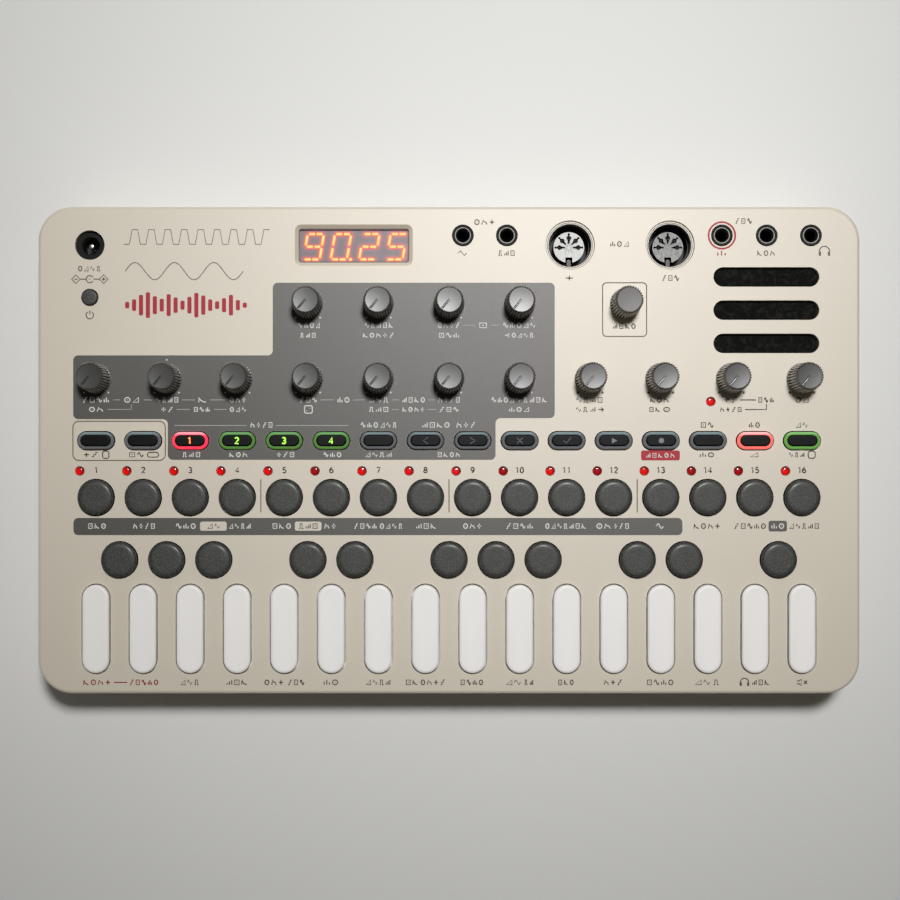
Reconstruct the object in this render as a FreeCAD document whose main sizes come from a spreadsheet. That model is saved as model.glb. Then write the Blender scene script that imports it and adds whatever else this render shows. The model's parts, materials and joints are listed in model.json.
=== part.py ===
import FreeCAD, Part

import math
import os
from types import SimpleNamespace

import Sketcher

# A desktop groovebox sampler: a cream slab with sixteen columns of keys and buttons, two rows of knobs,
# and its sockets, display and speaker along the rear. Millimetres, +Z up, front edge towards -Y.
# The origin is under the middle of the case, on the table that the rubber feet stand on.

document = FreeCAD.newDocument("Sampler")
sheet = document.addObject("Spreadsheet::Sheet", "Sizes")

driving_sizes = {
    # Panel grid: columns run left to right, rows run from the front edge to the rear edge
    "column_pitch": 17.0,
    "side_margin": 12.5,
    "front_edge_to_white_keys": 23.4,
    "white_to_black_keys": 25.0,
    "black_keys_to_steps": 22.5,
    "steps_to_functions": 20.5,
    "functions_to_knobs": 22.5,
    "knobs_to_upper_knobs": 27.1,
    "upper_knobs_to_sockets": 21.1,
    "sockets_to_rear_edge": 13.9,
    # Case shells
    "body_height": 30.5,
    "case_corner": 12.3,
    "case_wall": 2.5,
    "panel_thickness": 2.5,
    "floor_thickness": 2.5,
    "bottom_shell_height": 11.5,
    "top_edge_round": 1.2,
    "bottom_edge_round": 1.6,
    "lip_height": 1.5,
    "lip_gap": 0.15,
    # Screw bosses and posts
    "boss_inset_side": 7.5,
    "boss_inset_end": 9.0,
    "boss_diameter": 6.6,
    "screw_tube_wall": 1.0,
    "boss_length": 18.5,
    "post_diameter": 5.0,
    "screw_diameter": 3.0,
    "screw_length": 18.0,
    "screw_hole_gap": 0.3,
    "screw_head_diameter": 5.6,
    "screw_head_height": 2.0,
    "screw_head_depth": 4.0,
    "screw_head_gap": 0.5,
    "cross_width": 0.9,
    "cross_length": 3.2,
    "cross_depth": 1.2,
    # Rubber feet
    "foot_height": 2.5,
    "foot_diameter": 16.0,
    "foot_recess": 0.8,
    "foot_inset_side": 26.0,
    "foot_inset_end": 20.0,
    "foot_chamfer": 0.8,
    # Circuit boards
    "board_thickness": 1.6,
    "board_drop": 7.6,
    "board_inset_side": 14.5,
    "board_inset_end": 4.0,
    "board_rear_gap": 13.1,
    "socket_board_drop": 14.0,
    "socket_board_front": 11.1,
    "speaker_opening": 36.0,
    "display_tongue_width": 48.0,
    "power_board_width": 13.0,
    "socket_board_margin": 1.0,
    # Knobs and the potentiometers that carry them
    "knob_diameter": 10.9,
    "knob_top_diameter": 10.1,
    "knob_height": 15.0,
    "knob_gap": 0.6,
    "knob_rib_depth": 0.4,
    "knob_skirt_diameter": 11.1,
    "knob_skirt_height": 0.9,
    "knob_dish_diameter": 9.05,
    "knob_dish_depth": 0.3,
    "knob_bore_depth": 10.0,
    "pointer_width": 0.65,
    "pointer_depth": 0.25,
    "pointer_angle": 40.0,
    "shaft_diameter": 6.0,
    "shaft_hole_gap": 0.5,
    "shaft_bearing_gap": 0.05,
    "shaft_engagement": 3.5,
    "pot_width": 9.5,
    "pot_length": 10.0,
    "pot_height": 6.8,
    "encoder_width": 12.0,
    # Keys and buttons
    "key_gap": 0.4,
    "key_flange": 1.0,
    "key_flange_gap": 0.3,
    "key_travel": 1.0,
    "plunger_gap": 0.1,
    "stem_diameter": 4.0,
    "white_key_width": 9.7,
    "white_key_length": 32.0,
    "white_key_rise": 1.6,
    "white_key_round": 0.9,
    "round_key_diameter": 12.8,
    "round_key_rise": 2.8,
    "round_key_round": 1.3,
    "function_width": 13.1,
    "function_depth": 6.3,
    "function_rise": 1.5,
    "function_round": 0.5,
    "function_cap_width": 11.0,
    "function_cap_depth": 4.0,
    "function_cap_rise": 0.6,
    "function_cap_seat": 1.2,
    "function_cap_round": 0.4,
    "power_button_diameter": 5.9,
    "power_button_rise": 1.2,
    "power_button_round": 0.5,
    "sockets_to_power_button": 18.9,
    # Tact switches
    "switch_size": 6.0,
    "switch_body_height": 3.5,
    "plunger_diameter": 3.4,
    "plunger_height": 0.8,
    # Lights
    "light_diameter": 3.2,
    "light_flange_diameter": 4.0,
    "light_flange_height": 1.0,
    "light_rise": 0.9,
    "light_gap": 0.15,
    "light_spacer_diameter": 4.2,
    "light_column_offset": 5.93,
    "steps_to_lights": 9.6,
    "tempo_light_offset": 7.4,
    "functions_to_tempo_light": 14.2,
    "cell_light_size": 1.8,
    "cell_light_height": 1.0,
    "cell_light_offset": 5.2,
    # Display
    "display_from_sync_in": 39.4,
    "window_opening_length": 40.0,
    "window_opening_width": 12.3,
    "window_opening_corner": 1.0,
    "window_bevel": 1.3,
    "window_thickness": 1.0,
    "window_overlap": 1.4,
    "window_gap": 0.2,
    "display_length": 41.0,
    "display_width": 13.4,
    "display_gap": 0.3,
    # Sockets, in a chain from the right edge of the case
    "right_edge_to_headphones": 17.7,
    "headphones_to_line_out": 16.0,
    "line_out_to_line_in": 16.2,
    "line_in_to_din_out": 18.7,
    "din_out_to_din_in": 36.1,
    "din_in_to_sync_out": 22.9,
    "sync_out_to_sync_in": 15.9,
    "rear_edge_to_jacks": 10.4,
    "jack_body_width": 9.0,
    "jack_body_length": 10.0,
    "jack_bush_diameter": 7.6,
    "jack_bush_rise": 0.2,
    "jack_bush_gap": 0.15,
    "jack_bore": 3.6,
    "jack_mouth": 4.8,
    "jack_depth": 14.0,
    "din_rim_diameter": 17.8,
    "din_rim_depth": 1.1,
    "din_hole_diameter": 15.6,
    "din_bore": 15.2,
    "din_mouth_depth": 4.0,
    "din_lower_bore": 14.2,
    "din_depth": 12.0,
    "din_insert_recess": 0.3,
    "din_housing_diameter": 19.6,
    "din_insert_diameter": 12.0,
    "din_contact_circle": 7.0,
    "din_contact_diameter": 1.5,
    "din_contact_depth": 6.0,
    "din_contact_spread": 45.0,
    "din_key_width": 2.6,
    "din_key_depth": 1.6,
    "left_edge_to_power": 18.7,
    "dc_hole_diameter": 10.7,
    "dc_body_width": 9.0,
    "dc_body_length": 12.0,
    "dc_bore": 6.3,
    "dc_pin_diameter": 2.1,
    "dc_depth": 10.0,
    "dc_pin_recess": 1.0,
    # Speaker
    "right_edge_to_speaker": 33.8,
    "sockets_to_speaker": 23.5,
    "slot_length": 38.3,
    "slot_width": 7.07,
    "slot_pitch": 12.0,
    "cloth_length": 43.0,
    "cloth_width": 38.0,
    "cloth_thickness": 0.4,
    "cloth_corner": 2.0,
    "speaker_diameter": 40.0,
    "speaker_rim_width": 2.6,
    "speaker_rim_height": 1.2,
    "basket_wall": 0.8,
    "basket_depth": 7.6,
    "magnet_diameter": 22.0,
    "magnet_height": 5.0,
    "dust_cap_diameter": 7.0,
    "cone_thickness": 0.5,
    "cone_depth": 4.0,
    "cone_top_gap": 0.2,
    # Battery bay for six cells in three rows of two
    "bay_length": 110.0,
    "bay_width": 48.0,
    "bay_wall": 1.6,
    "bay_corner": 1.6,
    "bay_board_gap": 0.4,
    "cover_ledge": 3.0,
    "cover_thickness": 1.5,
    "cover_gap": 0.3,
    "cover_corner": 2.0,
    "cover_rim_height": 1.0,
    "cover_rim_wall": 1.2,
    "cover_rim_corner": 1.0,
    "cover_grip_diameter": 14.0,
    "cover_grip_depth": 0.7,
    "cell_pitch": 15.5,
    "contact_size": 9.0,
    "contact_thickness": 0.5,
    "contact_bump_diameter": 5.0,
    "contact_bump_height": 1.5,
}


class Size:
    """A length in millimetres or an angle in degrees, kept with the formula of sheet cells that gives it."""

    def __init__(self, number, formula):
        self.number = number
        self.formula = formula

    def __add__(self, other):
        other = size(other)
        return Size(self.number + other.number, f"({self.formula} + {other.formula})")

    def __sub__(self, other):
        other = size(other)
        return Size(self.number - other.number, f"({self.formula} - {other.formula})")

    def __rsub__(self, other):
        return size(other) - self

    def __mul__(self, other):
        other = size(other)
        return Size(self.number * other.number, f"({self.formula} * {other.formula})")

    def __truediv__(self, other):
        other = size(other)
        return Size(self.number / other.number, f"({self.formula} / {other.formula})")

    def __neg__(self):
        return size(0) - self

    __radd__ = __add__
    __rmul__ = __mul__


def size(value):
    """A plain number as a Size; a Size stays as it is."""
    if isinstance(value, Size):
        return value
    return Size(float(value), repr(float(value)))


for row, (name, number) in enumerate(driving_sizes.items(), start=1):
    sheet.set(f"A{row}", name)
    sheet.set(f"B{row}", str(number))
    sheet.setAlias(f"B{row}", name)
document.recompute()
dim = SimpleNamespace(**{name: Size(number, f"Sizes.{name}") for name, number in driving_sizes.items()})

columns = 16
knob_ribs = 40
speaker_slots = 3
din_contacts = 5
case_length = columns * dim.column_pitch + 2 * dim.side_margin
case_width = (
    dim.front_edge_to_white_keys + dim.white_to_black_keys + dim.black_keys_to_steps
    + dim.steps_to_functions + dim.functions_to_knobs + dim.knobs_to_upper_knobs
    + dim.upper_knobs_to_sockets + dim.sockets_to_rear_edge
)

# Heights above the table
case_bottom = dim.foot_height
floor_top = case_bottom + dim.floor_thickness
split_height = case_bottom + dim.bottom_shell_height
panel_top = case_bottom + dim.body_height
panel_underside = panel_top - dim.panel_thickness
board_top = panel_underside - dim.board_drop
board_underside = board_top - dim.board_thickness
socket_board_top = panel_underside - dim.socket_board_drop
socket_board_underside = socket_board_top - dim.board_thickness
boss_end = panel_underside - dim.boss_length
plunger_top = board_top + dim.switch_body_height + dim.plunger_height
key_flange_top = panel_underside - dim.key_flange_gap
key_flange_underside = key_flange_top - dim.key_flange
stem_end = plunger_top + dim.key_travel + dim.plunger_gap

# Rows, from front to rear
front_edge = -case_width / 2
rear_edge = case_width / 2
white_key_row = front_edge + dim.front_edge_to_white_keys
black_key_row = white_key_row + dim.white_to_black_keys
step_row = black_key_row + dim.black_keys_to_steps
function_row = step_row + dim.steps_to_functions
knob_row = function_row + dim.functions_to_knobs
upper_knob_row = knob_row + dim.knobs_to_upper_knobs
socket_row = upper_knob_row + dim.upper_knobs_to_sockets
jack_row = rear_edge - dim.rear_edge_to_jacks
light_row = step_row + dim.steps_to_lights
post_row = (knob_row + upper_knob_row) / 2
board_rear = socket_row - dim.board_rear_gap
power_button_row = socket_row - dim.sockets_to_power_button

# Places along the panel, from the ends of the case
left_edge = -case_length / 2
right_edge = case_length / 2
power_x = left_edge + dim.left_edge_to_power
headphones_x = right_edge - dim.right_edge_to_headphones
line_out_x = headphones_x - dim.headphones_to_line_out
line_in_x = line_out_x - dim.line_out_to_line_in
din_out_x = line_in_x - dim.line_in_to_din_out
din_in_x = din_out_x - dim.din_out_to_din_in
sync_out_x = din_in_x - dim.din_in_to_sync_out
sync_in_x = sync_out_x - dim.sync_out_to_sync_in
display_x = sync_in_x - dim.display_from_sync_in
speaker_x = right_edge - dim.right_edge_to_speaker
speaker_y = socket_row - dim.sockets_to_speaker


def column_x(column):
    """The middle of a column, counted from 0 at the left; half columns are allowed."""
    return (column - (columns - 1) / 2) * dim.column_pitch


knob_step = 1.5
lower_knobs = {
    "knob_cutoff": 0, "knob_depth": 1, "knob_time": 2, "knob_rate": 3, "knob_pitch": 4, "knob_filter": 5,
    "knob_release": 6, "knob_reverb": 7, "knob_velocity": 8, "knob_pattern": 9, "knob_volume": 10,
}
upper_knobs = {"knob_bank": 3, "knob_sample": 4, "knob_speed": 5, "knob_amount": 6}
encoder_column = 11.25
knob_places = {name: (column_x(knob_step * index), knob_row) for name, index in lower_knobs.items()}
for name, index in upper_knobs.items():
    knob_places[name] = (column_x(knob_step * index), upper_knob_row)
encoder_place = (column_x(encoder_column), upper_knob_row)
black_key_groups = {
    "black_keys_low": (0.5, 1.5, 2.5, 4.5, 5.5),
    "black_keys_high": (7.5, 8.5, 9.5, 11.5, 12.5, 14.5),
}
step_groups = {f"step_buttons_{group + 1}": range(4 * group, 4 * group + 4) for group in range(4)}
function_groups = {
    "shift_buttons": (0, 1),
    "track_buttons": (2, 3, 4, 5),
    "octave_buttons": (6, 7, 8),
    "transport_buttons": (9, 10, 11, 12),
    "pattern_buttons": (13, 14, 15),
}
jack_places = [(x, jack_row) for x in (sync_in_x, sync_out_x, line_in_x, line_out_x, headphones_x)]
din_places = [(din_in_x, socket_row), (din_out_x, socket_row)]
boss_x = right_edge - dim.boss_inset_side
boss_y = rear_edge - dim.boss_inset_end
boss_places = [(side * boss_x, end * boss_y) for side in (-1, 1) for end in (-1, 0, 1)]
board_posts = [
    (column_x(3.5), black_key_row), (column_x(10.5), black_key_row),
    (column_x(1.0), post_row), (column_x(11.0), post_row),
]
socket_posts = [
    ((sync_in_x + sync_out_x) / 2, socket_row), ((din_in_x + din_out_x) / 2, socket_row),
    (line_out_x, socket_row), (power_x, socket_row),
]
black_key_places = [
    (column_x(column), black_key_row)
    for group_columns in black_key_groups.values() for column in group_columns
]
step_places = [(column_x(column), step_row) for column in range(columns)]
round_key_places = black_key_places + step_places
light_places = [(column_x(column) - dim.light_column_offset, light_row) for column in range(columns)]
light_places.append((knob_places["knob_pattern"][0] - dim.tempo_light_offset,
                     function_row + dim.functions_to_tempo_light))

nodes = []


def bind(item, **properties):
    """Tie each property to its Size; a double underscore in a property's name stands for a dot."""
    for name, value in properties.items():
        item.setExpression(name.replace("__", "."), size(value).formula)
    return item


def put(item, x=0, y=0, z=0):
    return bind(item, Placement__Base__x=x, Placement__Base__y=y, Placement__Base__z=z)


def node(item, name):
    """Name a finished sub-part, so that it is checked and written to its own file."""
    item.Label = name
    nodes.append(item)
    return item


def box(length, width, height, x, y, z):
    """A block whose middle is at x, y and whose underside is at z."""
    item = document.addObject("Part::Box", "Block")
    bind(item, Length=length, Width=width, Height=height)
    return put(item, x - size(length) / 2, y - size(width) / 2, z)


def cylinder(diameter, height, x, y, z):
    item = document.addObject("Part::Cylinder", "Cylinder")
    bind(item, Radius=size(diameter) / 2, Height=height)
    return put(item, x, y, z)


def cone(low_diameter, high_diameter, height, x, y, z):
    item = document.addObject("Part::Cone", "Cone")
    bind(item, Radius1=size(low_diameter) / 2, Radius2=size(high_diameter) / 2, Height=height)
    return put(item, x, y, z)


def fuse(*pieces):
    item = document.addObject("Part::MultiFuse", "Fusion")
    item.Shapes = list(pieces)
    item.Refine = True
    return item


def cut(base, *tools):
    item = document.addObject("Part::Cut", "Cut")
    item.Base = base
    item.Tool = fuse(*tools) if len(tools) > 1 else tools[0]
    return item


def group(*pieces):
    """Separate solids that share one node."""
    item = document.addObject("Part::Compound", "Group")
    item.Links = list(pieces)
    return item


def copies(master, places, z=0):
    """The same piece at several places."""
    return [put(group(master), x, y, z) for x, y in places]


def new_body(name):
    return document.addObject("PartDesign::Body", name)


def new_sketch(body, z=0, role="XY_Plane"):
    """A sketch on one of the body's own origin planes, raised by z along the plane's normal."""
    sketch = body.newObject("Sketcher::SketchObject", "Sketch")
    plane = next(item for item in body.Origin.OriginFeatures if item.Role == role)
    sketch.AttachmentSupport = [(plane, "")]
    sketch.MapMode = "FlatFace"
    sketch.setExpression("AttachmentOffset.Base.z", size(z).formula)
    return sketch


def constrain(sketch, *definition):
    """Add a constraint; a Size at its end becomes its datum and its expression."""
    *elements, last = definition
    if not isinstance(last, Size):
        sketch.addConstraint(Sketcher.Constraint(*definition))
        return
    index = sketch.addConstraint(Sketcher.Constraint(*elements, last.number))
    sketch.setExpression(f"Constraints[{index}]", last.formula)


def locate(sketch, element, point, x, y):
    """Hold one point of an element at x, y from the sketch's origin."""
    constrain(sketch, "DistanceX", -1, 1, element, point, size(x))
    constrain(sketch, "DistanceY", -1, 1, element, point, size(y))


def draw_circle(sketch, diameter, x=0, y=0):
    diameter = size(diameter)
    centre = FreeCAD.Vector(size(x).number, size(y).number, 0)
    element = sketch.addGeometry(Part.Circle(centre, FreeCAD.Vector(0, 0, 1), diameter.number / 2))
    constrain(sketch, "Diameter", element, diameter)
    locate(sketch, element, 3, x, y)


def draw_outline(sketch, corners):
    """A closed outline of straight lines through the corners, each corner held at its own x, y."""
    points = [FreeCAD.Vector(size(x).number, size(y).number, 0) for x, y in corners]
    lines = [
        sketch.addGeometry(Part.LineSegment(point, points[(index + 1) % len(points)]))
        for index, point in enumerate(points)
    ]
    for index, line in enumerate(lines):
        constrain(sketch, "Coincident", line, 2, lines[(index + 1) % len(lines)], 1)
        locate(sketch, line, 1, *corners[index])


def arc(centre_x, centre_y, radius, start):
    """A quarter turn anticlockwise from the start angle, in degrees."""
    circle = Part.Circle(FreeCAD.Vector(centre_x, centre_y, 0), FreeCAD.Vector(0, 0, 1), radius)
    return Part.ArcOfCircle(circle, math.radians(start), math.radians(start + 90))


def draw_rounded(sketch, length, width, corner, x=0, y=0):
    """A rectangle with four round corners, its middle at x, y."""
    length, width, corner, x, y = (size(value) for value in (length, width, corner, x, y))
    reach_x = length.number / 2
    reach_y = width.number / 2
    radius = corner.number
    turns = [(1, -1, 270), (1, 1, 0), (-1, 1, 90), (-1, -1, 180)]
    arcs = [
        sketch.addGeometry(arc(
            x.number + side * (reach_x - radius), y.number + end * (reach_y - radius), radius, start))
        for side, end, start in turns
    ]
    lines = []
    for index, first in enumerate(arcs):
        second = arcs[(index + 1) % 4]
        line = Part.LineSegment(sketch.getPoint(first, 2), sketch.getPoint(second, 1))
        lines.append(sketch.addGeometry(line))
    for index, line in enumerate(lines):
        constrain(sketch, "Tangent", arcs[index], 2, line, 1)
        constrain(sketch, "Tangent", line, 2, arcs[(index + 1) % 4], 1)
    for first, second in zip(arcs, arcs[1:]):
        constrain(sketch, "Equal", first, second)
    constrain(sketch, "Vertical", lines[0])
    constrain(sketch, "Horizontal", lines[1])
    constrain(sketch, "Radius", arcs[0], corner)
    constrain(sketch, "DistanceX", arcs[2], 3, arcs[1], 3, length - 2 * corner)
    constrain(sketch, "DistanceY", arcs[0], 3, arcs[1], 3, width - 2 * corner)
    locate(sketch, arcs[1], 3, x + length / 2 - corner, y + width / 2 - corner)


def draw_pill(sketch, length, width, x=0, y=0, upright=False):
    """A slot with half-round ends, its middle at x, y; the ends point along X, or along Y when upright."""
    length, width, x, y = (size(value) for value in (length, width, x, y))
    reach = (length - width) / 2
    turn = math.pi / 2 if upright else 0
    along = FreeCAD.Vector(math.cos(turn), math.sin(turn), 0) * reach.number
    middle = FreeCAD.Vector(x.number, y.number, 0)
    ends = []
    for direction, start in ((1, turn - math.pi / 2), (-1, turn + math.pi / 2)):
        circle = Part.Circle(middle + along * direction, FreeCAD.Vector(0, 0, 1), width.number / 2)
        ends.append(sketch.addGeometry(Part.ArcOfCircle(circle, start, start + math.pi)))
    for first, second in (ends, reversed(ends)):
        line = sketch.addGeometry(Part.LineSegment(sketch.getPoint(first, 2), sketch.getPoint(second, 1)))
        constrain(sketch, "Tangent", first, 2, line, 1)
        constrain(sketch, "Tangent", line, 2, second, 1)
    constrain(sketch, "Radius", ends[0], width / 2)
    far_x, far_y = (x, y + reach) if upright else (x + reach, y)
    near_x, near_y = (x, y - reach) if upright else (x - reach, y)
    locate(sketch, ends[0], 3, far_x, far_y)
    locate(sketch, ends[1], 3, near_x, near_y)


def pad(body, sketch, length):
    feature = body.newObject("PartDesign::Pad", "Pad")
    feature.Profile = sketch
    return bind(feature, Length=length)


def pocket(body, sketch, depth):
    """Cut downwards from the sketch's plane."""
    feature = body.newObject("PartDesign::Pocket", "Pocket")
    feature.Profile = sketch
    feature.Refine = False
    return bind(feature, Length=depth)


def pattern(body, feature, axis, pitch, count):
    """Repeat a feature along one of the body's own origin axes."""
    repeat = body.newObject("PartDesign::LinearPattern", "Pattern")
    repeat.Originals = [feature]
    direction = next(item for item in body.Origin.OriginFeatures if item.Role == axis)
    repeat.Direction = (direction, [""])
    repeat.Mode = "Spacing"
    repeat.Occurrences = count
    repeat.Refine = False
    bind(repeat, Offset=pitch)
    body.Tip = repeat
    return repeat


def revolve(body, corners):
    """Turn an outline of (radius, height) corners about the vertical axis."""
    sketch = new_sketch(body, role="XZ_Plane")
    draw_outline(sketch, corners)
    feature = body.newObject("PartDesign::Revolution", "Revolution")
    feature.Profile = sketch
    feature.ReferenceAxis = (sketch, ["V_Axis"])
    feature.Angle = 360
    return feature


def level_edges(feature, z, reach_x=None, reach_y=None):
    """Names of the edges that lie flat at height z, within a (middle, half span) on each axis if given."""
    names = []
    for index, edge in enumerate(feature.Shape.Edges, start=1):
        bounds = edge.BoundBox
        flat = abs(bounds.ZMin - z.number) < 1e-4 and abs(bounds.ZMax - z.number) < 1e-4
        inside = all(
            reach is None or abs(centre - reach[0].number) <= reach[1].number
            for centre, reach in ((bounds.Center.x, reach_x), (bounds.Center.y, reach_y))
        )
        if flat and inside:
            names.append(f"Edge{index}")
    return names


def dress(body, kind, feature, edges, **properties):
    """Round or chamfer the named edges of a feature."""
    finish = body.newObject(f"PartDesign::{kind}", kind)
    finish.Base = (feature, edges)
    return bind(finish, **properties)


def round_level(body, feature, z, radius):
    document.recompute()
    return dress(body, "Fillet", feature, level_edges(feature, size(z)), Radius=radius)


def draw_case_outline(sketch, inset=0):
    """The outline of the case, drawn in by an inset all round."""
    draw_rounded(sketch, case_length - 2 * inset, case_width - 2 * inset, dim.case_corner - inset)


# Top case: a moulded shell with the panel, its holes, the screw bosses and the posts that press on the board.
top_case = new_body("TopCase")
outline = new_sketch(top_case, split_height)
draw_case_outline(outline)
slab = pad(top_case, outline, panel_top - split_height)
round_level(top_case, slab, panel_top, dim.top_edge_round)
cavity = new_sketch(top_case, panel_underside)
draw_case_outline(cavity, dim.case_wall)
pocket(top_case, cavity, panel_underside)


def panel_pocket(draw):
    """Cut the shapes that draw() puts in a sketch right through the panel."""
    sketch = new_sketch(top_case, panel_top)
    draw(sketch)
    return pocket(top_case, sketch, dim.panel_thickness)


def draw_window(sketch, margin, corner):
    """The opening over the display, widened by a margin all round."""
    draw_rounded(
        sketch, dim.window_opening_length + 2 * margin, dim.window_opening_width + 2 * margin, corner,
        display_x, socket_row)


window_seat = new_sketch(top_case, panel_underside + dim.window_thickness)
draw_window(window_seat, dim.window_overlap + dim.window_gap, dim.window_opening_corner)
pocket(top_case, window_seat, dim.window_thickness)
window_hole = panel_pocket(lambda sketch: draw_window(sketch, size(0), dim.window_opening_corner))
document.recompute()
rim_edges = level_edges(window_hole, panel_top, (display_x, dim.window_opening_length / 2),
                        (socket_row, dim.window_opening_width / 2))
dress(top_case, "Chamfer", window_hole, rim_edges, Size=dim.window_bevel)
rebate = new_sketch(top_case, split_height + dim.lip_height + dim.lip_gap)
draw_case_outline(rebate, dim.case_wall / 2)
pocket(top_case, rebate, panel_underside)
posts = new_sketch(top_case, boss_end)
for place in boss_places:
    draw_circle(posts, dim.boss_diameter, *place)
pad(top_case, posts, panel_top - dim.panel_thickness / 2 - boss_end)
pilots = new_sketch(top_case, boss_end + dim.screw_length)
for place in boss_places:
    draw_circle(pilots, dim.screw_diameter, *place)
pocket(top_case, pilots, dim.screw_length)
posts = new_sketch(top_case, board_top)
for place in board_posts:
    draw_circle(posts, dim.post_diameter, *place)
pad(top_case, posts, panel_top - dim.panel_thickness / 2 - board_top)


white_key_hole = panel_pocket(lambda sketch: draw_pill(
    sketch, dim.white_key_length + 2 * dim.key_gap, dim.white_key_width + 2 * dim.key_gap,
    column_x(0), white_key_row, upright=True))
pattern(top_case, white_key_hole, "X_Axis", dim.column_pitch, columns)
function_hole = panel_pocket(lambda sketch: draw_pill(
    sketch, dim.function_width + 2 * dim.key_gap, dim.function_depth + 2 * dim.key_gap,
    column_x(0), function_row))
pattern(top_case, function_hole, "X_Axis", dim.column_pitch, columns)
first_slot_y = speaker_y - dim.slot_pitch * (speaker_slots - 1) / 2
speaker_slot = panel_pocket(lambda sketch: draw_pill(
    sketch, dim.slot_length, dim.slot_width, speaker_x, first_slot_y))
pattern(top_case, speaker_slot, "Y_Axis", dim.slot_pitch, speaker_slots)


def draw_round_holes(sketch):
    for place in round_key_places:
        draw_circle(sketch, dim.round_key_diameter + 2 * dim.key_gap, *place)
    for place in light_places:
        draw_circle(sketch, dim.light_diameter + 2 * dim.light_gap, *place)
    for place in [*knob_places.values(), encoder_place]:
        draw_circle(sketch, dim.shaft_diameter + 2 * dim.shaft_hole_gap, *place)
    for place in jack_places:
        draw_circle(sketch, dim.jack_bush_diameter + 2 * dim.jack_bush_gap, *place)
    for place in din_places:
        draw_circle(sketch, dim.din_hole_diameter, *place)
    draw_circle(sketch, dim.power_button_diameter + dim.key_gap, power_x, power_button_row)
    draw_circle(sketch, dim.dc_hole_diameter, power_x, socket_row)


panel_pocket(draw_round_holes)
rims = new_sketch(top_case, panel_top)
for place in din_places:
    draw_circle(rims, dim.din_rim_diameter, *place)
pocket(top_case, rims, dim.din_rim_depth)
node(top_case, "top_case")

# Bottom case: floor, walls with a lip inside the top case, screw tubes, board posts and the battery bay.
bay_inner_top = board_underside - dim.bay_board_gap - dim.bay_wall
bottom_case = new_body("BottomCase")
outline = new_sketch(bottom_case, case_bottom)
draw_case_outline(outline)
tray = pad(bottom_case, outline, split_height - case_bottom)
round_level(bottom_case, tray, case_bottom, dim.bottom_edge_round)
cavity = new_sketch(bottom_case, split_height)
draw_case_outline(cavity, dim.case_wall)
pocket(bottom_case, cavity, split_height - floor_top)
lip = new_sketch(bottom_case, split_height - dim.lip_height)
draw_case_outline(lip, dim.case_wall / 2 + dim.lip_gap)
draw_case_outline(lip, dim.case_wall)
pad(bottom_case, lip, 2 * dim.lip_height)


def rising(draw, top):
    """Pad the drawn shapes from the middle of the floor up to a height."""
    sketch = new_sketch(bottom_case, floor_top - dim.floor_thickness / 2)
    draw(sketch)
    return pad(bottom_case, sketch, top - floor_top + dim.floor_thickness / 2)


def circles(places, diameter):
    def draw(sketch):
        for place in places:
            draw_circle(sketch, diameter, *place)
    return draw


def from_below(draw, top):
    """Cut the drawn shapes from a height down through the underside."""
    sketch = new_sketch(bottom_case, top)
    draw(sketch)
    return pocket(bottom_case, sketch, top)


screw_head_hole = dim.screw_head_diameter + 2 * dim.screw_head_gap
rising(circles(boss_places, screw_head_hole + 2 * dim.screw_tube_wall), boss_end)
rising(circles(board_posts, dim.post_diameter), board_underside)
rising(circles(socket_posts, dim.post_diameter), socket_board_underside)
rising(lambda sketch: draw_rounded(
    sketch, dim.bay_length + 2 * dim.bay_wall, dim.bay_width + 2 * dim.bay_wall,
    dim.bay_corner + dim.bay_wall), bay_inner_top + dim.bay_wall)
screw_head_top = case_bottom + dim.screw_head_depth
from_below(circles(boss_places, dim.screw_diameter + 2 * dim.screw_hole_gap), boss_end)
from_below(circles(boss_places, screw_head_hole), screw_head_top)
foot_places = [
    (side * (right_edge - dim.foot_inset_side), end * (rear_edge - dim.foot_inset_end))
    for side in (-1, 1) for end in (-1, 1)
]
from_below(circles(foot_places, dim.foot_diameter), case_bottom + dim.foot_recess)
cover_length = dim.bay_length + 2 * dim.cover_ledge
cover_width = dim.bay_width + 2 * dim.cover_ledge
from_below(lambda sketch: draw_rounded(sketch, dim.bay_length, dim.bay_width, dim.bay_corner), bay_inner_top)
from_below(lambda sketch: draw_rounded(sketch, cover_length, cover_width, dim.cover_corner),
           case_bottom + dim.cover_thickness)
node(bottom_case, "bottom_case")

# Battery cover: a flat lid in a rebate of the floor, with a locating rim inside the bay and two thumb grips.
battery_cover = new_body("BatteryCover")
plate = new_sketch(battery_cover, case_bottom)
draw_rounded(
    plate, cover_length - 2 * dim.cover_gap, cover_width - 2 * dim.cover_gap,
    dim.cover_corner - dim.cover_gap)
pad(battery_cover, plate, dim.cover_thickness)
rim = new_sketch(battery_cover, case_bottom + dim.cover_thickness / 2)
rim_length = dim.bay_length - 2 * dim.cover_gap
rim_width = dim.bay_width - 2 * dim.cover_gap
draw_rounded(rim, rim_length, rim_width, dim.bay_corner)
draw_rounded(
    rim, rim_length - 2 * dim.cover_rim_wall, rim_width - 2 * dim.cover_rim_wall, dim.cover_rim_corner)
pad(battery_cover, rim, dim.cover_thickness / 2 + dim.cover_rim_height)
grips = new_sketch(battery_cover, case_bottom + dim.cover_grip_depth)
for side in (-1, 1):
    draw_circle(grips, dim.cover_grip_diameter, side * (cover_length / 2 - dim.cover_grip_diameter), 0)
pocket(battery_cover, grips, case_bottom)
node(battery_cover, "battery_cover")

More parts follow.
